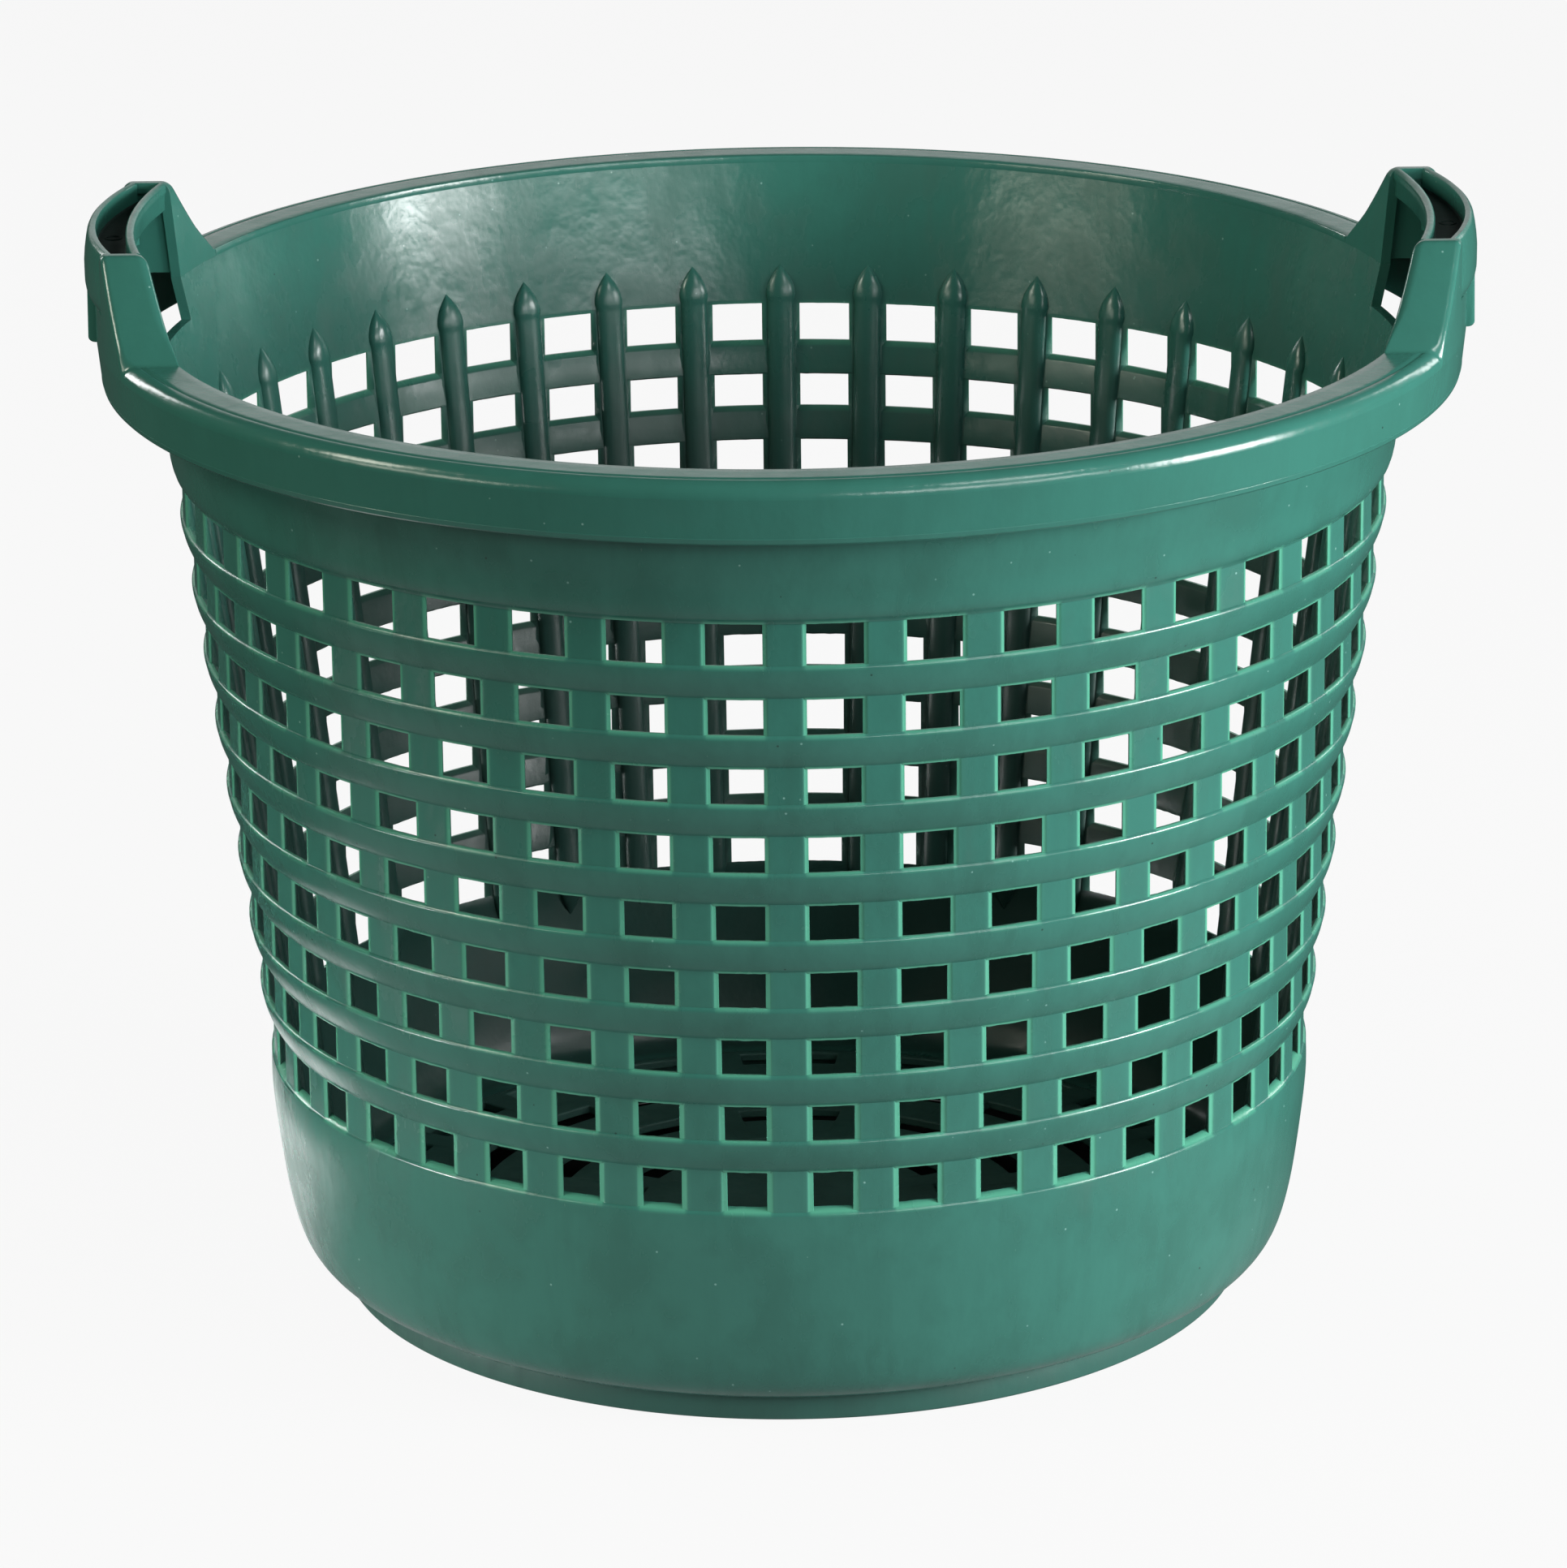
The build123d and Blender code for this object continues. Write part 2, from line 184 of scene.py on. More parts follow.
class BasketColours(bpy.types.PropertyGroup):
    """Colours and surface finish of the moulding and the studio floor."""

    body: colour("Body", "Green of the thick walls", 0.037, 0.165, 0.131)
    deep: colour("Deep", "Darker green of the flow streaks", 0.026, 0.122, 0.095)
    # Painted glow: lighter green on the thin edges, standing in for light shining through the thin plastic
    thin: colour("Thin edge", "Green of the thin edges that let light through", 0.084, 0.345, 0.235)
    bloom: colour("Bloom", "Pale bloom of rubbed spots and specks", 0.22, 0.42, 0.38)
    # Also the colour of the painted shade on inner faces, floor, foot ring and grip channels
    grime: colour("Grime", "Dark specks in the plastic, and soil", 0.012, 0.030, 0.026)
    roughness: share("Roughness", "Roughness of the satin skin", 0.17)
    waviness: share("Waviness", "Strength of the soft unevenness of the skin", 0.16)
    floor: colour("Studio floor", "Pale studio floor as the camera sees it", 0.92, 0.92, 0.92)
    bounce: colour("Floor bounce", "Light that the studio floor gives back", 0.33, 0.33, 0.33)


def sizes():
    """The sizes in millimetres, by name."""
    group = bpy.context.scene.basket_sizes
    found = {}
    for name in BasketSizes.__annotations__:
        value = getattr(group, name)
        plain = name in ("wall_lean", "slot_rings")
        found[name] = value if plain else value / MILLIMETRE
    return found


def blend(a, b, share_of_b):
    """Straight blend between two values."""
    return a + (b - a) * share_of_b


def eased(value):
    """Smooth step of a value between 0 and 1."""
    value = min(1.0, max(0.0, value))
    return value * value * (3.0 - 2.0 * value)


def core(size, level):
    """Inner radius of the openwork wall at a level."""
    return size["core_top"] - size["wall_lean"] * (LATTICE_TOP - level)


def collar_face(size, level):
    """Inner radius of the collar at a level, also above the rim."""
    rise = (level - LATTICE_TOP) / (PLATE_BOTTOM - LATTICE_TOP)
    return blend(size["core_top"], size["collar_inner"], rise)


def spline_value(values, t):
    """Value on a smooth line between the middle two of four values."""
    a, b, c, d = values
    bend = 2 * a - 5 * b + 4 * c - d
    twist = 3 * b - a - 3 * c + d
    return 0.5 * (2 * b + (c - a) * t + bend * t * t + twist * t ** 3)


def smooth_path(points, steps=5):
    """Points on a smooth line through the given points."""
    ends = [points[0]] + list(points) + [points[-1]]
    path = []
    for index in range(1, len(ends) - 2):
        for step in range(steps):
            path.append(tuple(spline_value(four, step / steps) for four in zip(*ends[index - 1:index + 3])))
    path.append(tuple(points[-1]))
    return path


def arc(centre, radius, start, stop, steps):
    """Points of an arc in a section, with angles in degrees."""
    points = []
    for step in range(steps + 1):
        angle = math.radians(blend(start, stop, step / steps))
        points.append((centre[0] + radius * math.cos(angle), centre[1] + radius * math.sin(angle)))
    return points


def at(radius, angle, level):
    """A point on a turned surface."""
    return (radius * math.cos(angle), radius * math.sin(angle), level)


def on_plane(radius, y, level, turn_x, turn_y=1):
    """A point at a radius on a plane Y = y, mirrored into one of the four corners."""
    return (turn_x * math.sqrt(radius * radius - y * y), turn_y * y, level)


def even_angles(count):
    """Angles in even steps round the basket."""
    return [FULL_TURN * step / count for step in range(count)]


def plain(outline):
    """Points of an outline with no painted edge glow."""
    return [(radius, level, 0.0) for radius, level in outline]


class Moulding:
    """Points, faces and painted edge glow of one piece, in millimetres."""

    def __init__(self):
        self.points = []
        self.thin = []
        self.faces = []

    def row(self, points, thin=None):
        """Add points and give their numbers."""
        first = len(self.points)
        self.points.extend(points)
        self.thin.extend(thin if thin else [0.0] * len(points))
        return list(range(first, first + len(points)))

    def strip(self, a, b, closed=True):
        """Faces between two rows of point numbers."""
        count = len(a)
        for index in range(count if closed else count - 1):
            after = (index + 1) % count
            self.faces.append((a[index], a[after], b[after], b[index]))

    def loft(self, rows, thins=None, ring=False):
        """Faces between closed rows of points, with end caps unless the rows make a ring."""
        made = [self.row(points, thins[index] if thins else None) for index, points in enumerate(rows)]
        for a, b in zip(made, made[1:]):
            self.strip(a, b)
        if ring:
            self.strip(made[-1], made[0])
        else:
            self.faces += [tuple(made[0]), tuple(made[-1])]

    def turn(self, section, angles):
        """Full ring of a section that gives radius, level and painted edge glow for an angle."""
        rows = []
        thins = []
        for angle in angles:
            profile = section(angle)
            rows.append([at(radius, angle, level) for radius, level, _ in profile])
            thins.append([value for _, _, value in profile])
        self.loft(rows, thins, ring=True)

    def piece(self, name, nodes, finish, bevel=0.0, sharp=38.0):
        """Make the Blender piece that stands for the given frame nodes."""
        mesh = bpy.data.meshes.new(name)
        mesh.from_pydata([Vector(point) * MILLIMETRE for point in self.points], [], self.faces)
        # Share of painted edge glow at each point
        layer = mesh.attributes.new("thin", "FLOAT", "POINT")
        layer.data.foreach_set("value", self.thin)
        work = bmesh.new()
        work.from_mesh(mesh)
        bmesh.ops.remove_doubles(work, verts=work.verts, dist=0.00002)
        bmesh.ops.recalc_face_normals(work, faces=work.faces)
        work.to_mesh(mesh)
        work.free()
        mesh.polygons.foreach_set("use_smooth", [True] * len(mesh.polygons))
        mesh.set_sharp_from_angle(angle=math.radians(sharp))
        obj = bpy.data.objects.new(name, mesh)
        bpy.context.scene.collection.objects.link(obj)
        if bevel:
            rounding = obj.modifiers.new("Edge rounding", "BEVEL")
            rounding.width = bevel * MILLIMETRE
            rounding.segments = 2
            rounding.limit_method = "ANGLE"
            rounding.angle_limit = math.radians(50.0)
            rounding.miter_outer = "MITER_ARC"
        mesh.materials.append(green_plastic(finish))
        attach(obj, BODY)
        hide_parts(*nodes)


class PieceOperator:
    """Shared by the operators of the pieces: build from the sizes."""

    def execute(self, context):
        self.build(sizes())
        return {"FINISHED"}


def pitch_angles():
    """Angles round the basket, closer together at the edges of the windows."""
    shares = (0.0, 0.08, 0.135, 0.165, 0.19, 0.213, 0.24, 0.29, 0.36, 0.43)
    places = list(shares) + [0.5] + [1.0 - value for value in reversed(shares[1:])]
    step = FULL_TURN / UPRIGHT_COUNT
    return [step * (whole + place) for whole in range(UPRIGHT_COUNT) for place in places]


def from_upright(angle, radius):
    """Distance along the wall from the middle of the nearest upright."""
    turns = angle / FULL_TURN * UPRIGHT_COUNT
    return abs(turns - round(turns)) * FULL_TURN * radius / UPRIGHT_COUNT


def flash_edge(size, angle, radius, level, roughness):
    """0 over an upright and 1 in a window, and the uneven flash there, the same on every run."""
    open_share = eased((from_upright(angle, radius) - 0.5 * size["upright_width"] + 0.3) / 1.3)
    spot = Vector((math.cos(angle) * FLASH_SCALE, math.sin(angle) * FLASH_SCALE, level * 0.37))
    uneven = 0.6 * noise.noise(spot) + 0.4 * noise.noise(spot * 2.7)
    return open_share, size["flash"] * roughness * uneven * open_share


def hoop_crest(row):
    """Outer radius of a hoop, or of the bowl below the last one."""
    return reach("hoop_%d" % row) if row <= HOOP_COUNT else BOWL_RADIUS


def row_level(row):
    """Top and bottom level of a row of windows."""
    top = LATTICE_TOP if row == 1 else low("hoop_%d" % (row - 1))
    bottom = BOWL_TOP if row > HOOP_COUNT else high("hoop_%d" % row)
    return top, bottom


def lower_edge(size, angle, radius, level, inner, roughness):
    """Thin lower edge above a window row: outer chamfer, underside and inner corner."""
    open_share, wave = flash_edge(size, angle, radius, level, roughness)
    # Third values: share of painted edge glow along this thin edge
    return [
        (radius, level + 0.35, 0.1 * open_share),
        (radius - 0.3, level + 0.05, 0.8 * open_share),
        (radius - 0.5, level - 0.15, open_share),
        (radius - 0.75, level - 0.85 + wave, open_share),
        (radius - 1.2, level - 0.85 + wave, 0.8 * open_share),
        (inner, level - 0.1, 0.1 * open_share),
    ]


def upper_edge(size, angle, radius, level, inner, rise, roughness):
    """Upper edge below a window row, from the inner corner over the ledge out to the crest."""
    fall = 0.6 if rise else 2.2
    ledge = blend(inner, radius, 0.5) if rise else radius - 2.1
    open_share, wave = flash_edge(size, angle, radius, level, roughness)
    # Third values: share of painted edge glow along this ledge
    return [
        (inner, level - fall, 0.0),
        (inner + 0.4, level + 0.6 - fall + rise + wave, 0.3 * open_share),
        (ledge, level + 0.6 * rise + 0.7 * wave, open_share),
        (radius - 1.0, level + 0.08 * rise, open_share),
        (radius - 0.78, level - 0.08, 0.85 * open_share),
        (radius - 0.42, level - 0.36, 0.6 * open_share),
        (radius - 0.10, level - 0.85, 0.4 * open_share),
        (radius, level - 1.3, 0.2 * open_share),
        (radius - 0.05, level - 2.0, 0.0),
    ]


def hoop_section(size, row):
    """Section of a hoop as a function of the angle."""
    name = "hoop_%d" % row
    top = high(name)
    bottom = low(name)
    crest = hoop_crest(row)
    taper = size["hoop_taper"]
    roughness = 0.35 + 0.65 * eased((row - 2) / 3)
    steps = 7

    def section(angle):
        dip = size["sink"] * math.exp(-((from_upright(angle, crest) / SINK_REACH) ** 2))
        points = upper_edge(size, angle, crest, top, core(size, top), 0.0, roughness)
        for step in range(1, steps):
            drop = step / steps
            swell = 4 * size["hoop_swell"] * drop * (1.0 - drop)
            radius = crest - taper * drop + swell - dip * (1.0 - drop)
            points.append((radius, blend(top - 2.0, bottom + 0.35, drop), 0.0))
        return points + lower_edge(size, angle, crest - taper, bottom, core(size, bottom), roughness)

    return section


class BASKET_OT_hoops(PieceOperator, bpy.types.Operator):
    """Turn the hoops of the openwork wall"""

    bl_idname = "basket.hoops"
    bl_label = "Hoops"

    def build(self, size):
        for row in range(1, HOOP_COUNT + 1):
            ring = Moulding()
            ring.turn(hoop_section(size, row), pitch_angles())
            ring.piece("wall_hoop_%d" % row, ["hoop_%d" % row], "Wall plastic")


def strip_radius(size, level):
    """Radius of the outer face of an upright, hidden where it passes behind a hoop."""
    recess = size["strip_recess"]
    for row in range(1, HOOP_COUNT + 2):
        top, bottom = row_level(row)
        if bottom <= level <= top:
            return hoop_crest(row) - recess
        if row > 1:
            upper = high("hoop_%d" % (row - 1))
            if top < level < upper:
                drop = (upper - level) / (upper - top)
                return blend(hoop_crest(row - 1), hoop_crest(row), drop) - recess
    return hoop_crest(HOOP_COUNT + 1) - recess


def rib_top(size):
    """Levels where the upper end of a rib starts to narrow and where it ends."""
    return LATTICE_TOP + RIB_SHOULDER, LATTICE_TOP + size["rib_tip"]


def upright_levels(size):
    """Levels of the sections of an upright from its lower tip to its upper tip."""
    levels = [blend(BOWL_TOP - size["rib_foot"], BOWL_TOP, step / 6) for step in range(6)]
    for row in range(HOOP_COUNT + 1, 0, -1):
        top, bottom = row_level(row)
        levels += [bottom, bottom + LEVEL_STEP]
        levels += [blend(bottom, top, step / 5) for step in range(1, 5)]
        levels += [top - LEVEL_STEP, top]
    shoulder, tip = rib_top(size)
    levels += [LATTICE_TOP + 1.2, LATTICE_TOP + 2.2]
    levels += [blend(shoulder, tip, (step / 10) ** 0.8) for step in range(11)]
    return levels


def window_side(size, level, inner):
    """Right half of an upright's outer face, and its thin window frame."""
    half = 0.5 * size["upright_width"]
    outer = strip_radius(size, level)
    drop = (LATTICE_TOP - level) / (LATTICE_TOP - BOWL_TOP)
    side = blend(size["frame_top"], size["frame_low"], eased(drop) * drop)
    # Third values: share of painted edge glow on the window frame
    return [
        (outer, half - 2.2, 0.0),
        (outer, half - 0.8, 0.06),
        (outer - 0.04, half - 0.25, 0.3),
        (outer - 0.22, half, 0.85),
        (outer - 0.40, half + 0.25 * side, 1.0),
        (outer - 0.60, half + 0.94 * side, 1.0),
        (outer - 0.85, half + side, 1.0),
        (outer - 1.30, half + 0.9 * side, 0.6),
        (inner + 0.02, half - 0.6, 0.0),
    ]


def rib_end(size, level, rib, depth):
    """Inner radius, half width and depth of the pointed rib above or below the openwork."""
    swell = 0.0
    if level > LATTICE_TOP:
        shoulder, tip = rib_top(size)
        inner = collar_face(size, level)
        climb = min(1.0, max(0.0, (level - shoulder) / (tip - shoulder)))
        swell = eased((level - LATTICE_TOP) / RIB_SHOULDER)
        bluntness = 2.6
    else:
        inner = core(size, BOWL_TOP)
        climb = (BOWL_TOP - level) / size["rib_foot"]
        bluntness = 2.0
    rib = max(0.15, rib * (1.0 + 0.10 * swell) * (1.0 - climb ** 1.9))
    depth = max(0.05, depth * (1.0 + 0.15 * swell) * (1.0 - climb ** bluntness))
    return inner, rib, depth


def upright_section(size, level):
    """Section of an upright at a level: outer face, thin window frames and round inner rib."""
    rib = 0.5 * size["rib_width"]
    depth = size["rib_depth"]
    if BOWL_TOP <= level <= LATTICE_TOP:
        inner = core(size, level)
        right = window_side(size, level, inner)
    else:
        inner, rib, depth = rib_end(size, level, rib, depth)
        shares = (0.4, 0.6, 0.75, 0.85, 0.92, 0.96, 0.98, 0.99, 1.0)
        right = [(inner + 1.0, rib * part, 0.0) for part in shares]
    half_round = []
    for step in range(9):
        angle = math.pi * step / 8
        half_round.append((inner - depth * math.sin(angle) ** 0.85, rib * math.cos(angle), 0.0))
    left = [(radius, -across, value) for radius, across, value in reversed(right)]
    return right + half_round + left


class BASKET_OT_uprights(PieceOperator, bpy.types.Operator):
    """Loft the uprights with their inner ribs, in the four groups of the frame"""

    bl_idname = "basket.uprights"
    bl_label = "Uprights"

    def build(self, size):
        levels = upright_levels(size)
        sections = [upright_section(size, level) for level in levels]
        thins = [[value for _, _, value in section] for section in sections]
        quarter = UPRIGHT_COUNT // 4
        for turn, side in enumerate(("right", "back", "left", "front")):
            group = Moulding()
            for place in range(-(quarter // 2), quarter - quarter // 2):
                angle = turn * math.pi / 2 + place * FULL_TURN / UPRIGHT_COUNT
                x, y, _ = at(1.0, angle, 0.0)
                rows = []
                for level, section in zip(levels, sections):
                    rows.append([(out * x - across * y, out * y + across * x, level)
                                 for out, across, _ in section])
                group.loft(rows, thins)
            group.piece("wall_uprights_" + side, ["uprights_" + side], "Wall plastic")


def grid_shell(shape, outer, inner, solid):
    """Shell between an outer and an inner grid of points, open where solid says so. Columns go all round."""
    rows = len(outer)
    columns = len(outer[0][0])
    outside = [shape.row(points, thin) for points, thin in outer]
    inside = [shape.row(points, thin) for points, thin in inner]
    for row in range(rows - 1):
        for column in range(columns):
            if not solid(row, column):
                continue
            after = (column + 1) % columns
            before = (column - 1) % columns
            a, b = outside[row], outside[row + 1]
            c, d = inside[row], inside[row + 1]
            shape.faces.append((a[column], a[after], b[after], b[column]))
            shape.faces.append((c[after], c[column], d[column], d[after]))
            if row == 0 or not solid(row - 1, column):
                shape.faces.append((a[column], c[column], c[after], a[after]))
            if row == rows - 2 or not solid(row + 1, column):
                shape.faces.append((b[column], b[after], d[after], d[column]))
            if not solid(row, before):
                shape.faces.append((a[column], b[column], d[column], c[column]))
            if not solid(row, after):
                shape.faces.append((a[after], c[after], d[after], b[after]))


def ear_angles(radius):
    """Angles where a circle meets the inner planes of the four ears."""
    tilt = math.asin(EAR_NEAR / radius)
    return (tilt, math.pi - tilt, math.pi + tilt, FULL_TURN - tilt)


class BASKET_OT_collar(PieceOperator, bpy.types.Operator):
    """Turn the plain collar with its two finger openings"""

    bl_idname = "basket.collar"
    bl_label = "Collar"

    def build(self, size):
        angles = pitch_angles()
        crest = hoop_crest(1)
        sill = size["finger_bottom"] - LATTICE_TOP
        # Rise above the openwork, and how far the curled lower edge stands out from the first hoop
        curl = [(-0.85, -0.55), (0.3, 0.0), (1.0, 0.95), (2.4, 1.85), (4.6, 2.6), (7.2, 3.15)]
        straight = [10.5, 16.0, 22.0, 28.0, 34.0, sill, 45.0, 51.0, PLATE_BOTTOM - LATTICE_TOP]
        sill_row = len(curl) + straight.index(sill)
        marks = []
        for mark in ear_angles(size["collar_inner"]):
            offsets = [abs(angle - mark) for angle in angles]
            marks.append(offsets.index(min(offsets)))

        def turned(index, radius):
            return ear_angles(radius)[marks.index(index)] if index in marks else angles[index]

        shells = ([], [])
        for rise, stand in curl + [(rise, None) for rise in straight]:
            level = LATTICE_TOP + rise
            inside = collar_face(size, max(level, LATTICE_TOP))
            outside = inside + size["collar_wall"] if stand is None else crest + stand
            flash = 0.4 if rise < 0 else 0.0
            # Painted edge glow, full on the curled lower edge and fading above it
            glow_share = 1.0 if rise < 0 else max(0.0, 0.35 - 0.3 * rise)
            edges = [flash_edge(size, angle, crest, level, flash) for angle in angles]
            for shell, radius, strength in zip(shells, (outside, inside), (glow_share, 0.5 * glow_share)):
                points = []
                for index, (_, wave) in enumerate(edges):
                    points.append(at(radius, turned(index, radius), level + wave))
                shell.append((points, [strength * open_share for open_share, _ in edges]))

        def solid(row, column):
            in_right = column >= marks[3] or column < marks[0]
            in_left = marks[1] <= column < marks[2]
            return row < sill_row or not (in_right or in_left)

        shape = Moulding()
        grid_shell(shape, *shells, solid)
        shape.piece("wall_collar", ["top_collar"], "Wall plastic", bevel=size["edge_round"])


def between(low_point, high_point, shares):
    """Points at shares of the way from one corner of a section to another."""
    return [
        (blend(low_point[0], high_point[0], across), blend(low_point[1], high_point[1], up))
        for across, up in shares
    ]


def bowl_profiles(size):
    """Outer and inner outline of the lower bowl."""
    upper = [(1.0, 0.82), (1.0, 0.97)]
    outer_shape = [(0.135, 0.005), (0.42, 0.045), (0.64, 0.136), (0.80, 0.32), (0.92, 0.58)] + upper
    inner_shape = [(0.24, 0.003), (0.47, 0.033), (0.61, 0.09), (0.73, 0.18), (0.86, 0.40)] + upper
    floor_corner = (FLOOR_EDGE, FLOOR_TOP)
    outer = [(FOOT_RADIUS - 0.1, FOOT_TOP)]
    outer += between((FOOT_RADIUS, FOOT_TOP), (BOWL_RADIUS, BOWL_TOP), outer_shape)
    inner = [floor_corner] + between(floor_corner, (core(size, BOWL_TOP), BOWL_TOP), inner_shape)
    return smooth_path(outer), smooth_path(inner)


class BASKET_OT_bowl(PieceOperator, bpy.types.Operator):
    """Turn the lower bowl up to the last row of windows"""

    bl_idname = "basket.bowl"
    bl_label = "Lower bowl"

    def build(self, size):
        outer, inner = bowl_profiles(size)
        inner_top = core(size, BOWL_TOP)
        foot_inner = FOOT_RADIUS - size["foot_wall"]
        seat = [(foot_inner, FOOT_TOP), (foot_inner, FLOOR_BOTTOM), (FLOOR_EDGE, FLOOR_BOTTOM)]
        ledge_rise = 1.35

        def section(angle):
            edge = upper_edge(size, angle, BOWL_RADIUS, BOWL_TOP, inner_top, ledge_rise, 1.0)
            return plain(inner) + edge + plain(reversed(outer)) + plain(seat)

        shape = Moulding()
        shape.turn(section, pitch_angles())
        shape.piece("lower_bowl_shell", ["lower_bowl"], "Wall plastic")


class BASKET_OT_foot(PieceOperator, bpy.types.Operator):
    """Turn the foot ring with its rounded lower edge"""

    bl_idname = "basket.foot"
    bl_label = "Foot ring"

    def build(self, size):
        inner = FOOT_RADIUS - size["foot_wall"]
        rounding = 1.2
        outline = [(inner, FOOT_TOP), (inner, 1.0), (inner + 0.3, 0.3), (inner + 1.0, 0.0)]
        outline += arc((FOOT_RADIUS - rounding, rounding), rounding, -90, 0, 5)
        outline += [(FOOT_RADIUS, FOOT_TOP - 1.6), (FOOT_RADIUS - 0.25, FOOT_TOP - 0.6)]
        outline += [(FOOT_RADIUS - 0.8, FOOT_TOP)]
        shape = Moulding()
        shape.turn(lambda angle: plain(outline), even_angles(360))
        shape.piece("foot_ring_turned", ["foot_ring"], "Foot plastic")


class BASKET_OT_floor(PieceOperator, bpy.types.Operator):
    """Build the floor with its rings of slots"""

    bl_idname = "basket.floor"
    bl_label = "Slotted floor"

    def build(self, size):
        columns = 480
        angles = even_angles(columns)
        circles = [(size["hub_radius"], {})]
        open_cells = set()
        for ring in reversed(range(size["slot_rings"])):
            middle = FLOOR_EDGE - size["slot_edge"] - ring * size["slot_pitch"]
            count = round(FULL_TURN * middle / (size["slot_length"] + size["slot_bridge"]))
            half = 0.5 * size["slot_length"] / middle
            slot_ends = {}
            for turn in range(count):
                centre = math.pi / 2 + turn * FULL_TURN / count
                start = round((centre - half) / FULL_TURN * columns)
                stop = round((centre + half) / FULL_TURN * columns)
                slot_ends[start % columns] = centre - half
                slot_ends[stop % columns] = centre + half
                open_cells.update((len(circles), column % columns) for column in range(start, stop))
            circles.append((middle - 0.5 * size["slot_width"], slot_ends))
            circles.append((middle + 0.5 * size["slot_width"], slot_ends))
        circles.append((FLOOR_EDGE, {}))
        shells = ([], [])
        for shell, level in zip(shells, (FLOOR_TOP, FLOOR_BOTTOM)):
            for radius, slot_ends in circles:
                turns = [slot_ends.get(column, angle) for column, angle in enumerate(angles)]
                shell.append(([at(radius, turn, level) for turn in turns], None))
        shape = Moulding()
        grid_shell(shape, *shells, lambda row, column: (row, column) not in open_cells)
        # The hub closes the small circle in the middle, so the wall round it goes
        hub = shape.row([(0.0, 0.0, FLOOR_TOP), (0.0, 0.0, FLOOR_BOTTOM)])
        hub_bottom = len(circles) * columns
        for column in range(columns):
            after = (column + 1) % columns
            shape.faces.append((hub[0], column, after))
            shape.faces.append((hub[1], hub_bottom + after, hub_bottom + column))
        small_circle = set(range(columns)) | set(range(hub_bottom, hub_bottom + columns))
        shape.faces = [face for face in shape.faces if not small_circle.issuperset(face)]
        shape.piece("floor_slotted", ["floor_plate"], "Floor plastic", bevel=0.9)


def rim_profile(size):
    """Closed outline of the rim from its inner edge over the flat top, a fine groove and the shoulder."""
    inner = size["collar_inner"]
    edge = size["plate_edge"]
    shoulder = RIM_RADIUS - edge
    groove = 0.25
    flat_start = inner + 0.8
    outline = [(inner, PLATE_BOTTOM), (inner, RIM_TOP - 0.8), (inner + 0.25, RIM_TOP - 0.25)]
    outline += [(blend(flat_start, edge, step / 4), RIM_TOP) for step in range(4)]
    outline += [(edge - 1.3, RIM_TOP), (edge - 0.95, RIM_TOP - groove)]
    outline += [(edge - 0.55, RIM_TOP - groove), (edge - 0.2, RIM_TOP - 0.03)]
    outline += arc((edge, RIM_TOP - shoulder), shoulder, 90, 0, 12)
    outline += [(RIM_RADIUS - size["skirt_wall"], SKIRT_TOP), (edge, PLATE_BOTTOM)]
    return outline


class BASKET_OT_rim(PieceOperator, bpy.types.Operator):
    """Sweep the flat rim and its shoulder round the front and the back"""

    bl_idname = "basket.rim"
    bl_label = "Rim"

    def build(self, size):
        outline = rim_profile(size)
        steps = 240
        for side, turn_y in (("front", -1), ("back", 1)):
            rows = []
            for step in range(steps + 1):
                row = []
                for radius, level in outline:
                    tilt = math.asin(EAR_FAR / radius)
                    row.append(at(radius, turn_y * blend(tilt, math.pi - tilt, step / steps), level))
                rows.append(row)
            shape = Moulding()
            shape.loft(rows)
            shape.piece("rim_" + side, ["rim_plate_" + side, "rim_shoulder_" + side], "Rim plastic")


class BASKET_OT_skirt(PieceOperator, bpy.types.Operator):
    """Turn the skirt that hangs from the rim, with the bead along its lower edge"""

    bl_idname = "basket.skirt"
    bl_label = "Rim skirt"

    def build(self, size):
        draft = size["skirt_draft"]
        wall = size["skirt_wall"]
        foot = RIM_RADIUS - draft
        outline = [(RIM_RADIUS - wall, SKIRT_TOP), (RIM_RADIUS, SKIRT_TOP)]
        for step in range(1, 5):
            drop = step / 4
            outline.append((RIM_RADIUS - 0.85 * draft * drop, blend(SKIRT_TOP, SKIRT_BOTTOM + 2.5, drop)))
        outline += [(foot + 0.35, SKIRT_BOTTOM + 2.3), (foot - 0.1, SKIRT_BOTTOM + 0.6)]
        outline += [(foot - 0.7, SKIRT_BOTTOM), (foot - 2.4, SKIRT_BOTTOM)]
        outline += [(foot - wall, SKIRT_BOTTOM + 0.6)]
        shape = Moulding()
        shape.turn(lambda angle: plain(outline), even_angles(480))
        shape.piece("rim_skirt_turned", ["rim_skirt"], "Rim plastic", sharp=30.0)


def ear_climb(share_of_ramp):
    """Share of an ear's height along its ramp, with a small hollow at the base and a rounded top."""
    base = 0.03
    top = 0.04
    slope = 1.0 / (1.0 - base - top)
    if share_of_ramp < 2 * base:
        return slope * share_of_ramp ** 2 / (4 * base)
    if share_of_ramp > 1.0 - 2 * top:
        return 1.0 - slope * (1.0 - share_of_ramp) ** 2 / (4 * top)
    return slope * (share_of_ramp - base)


def ear_face(size, level):
    """Inner radius of an ear at a level."""
    rise = (level - PLATE_BOTTOM) / (GRIP_TOP - size["ear_corner"] - PLATE_BOTTOM)
    return size["collar_inner"] + rise * size["ear_lean"]


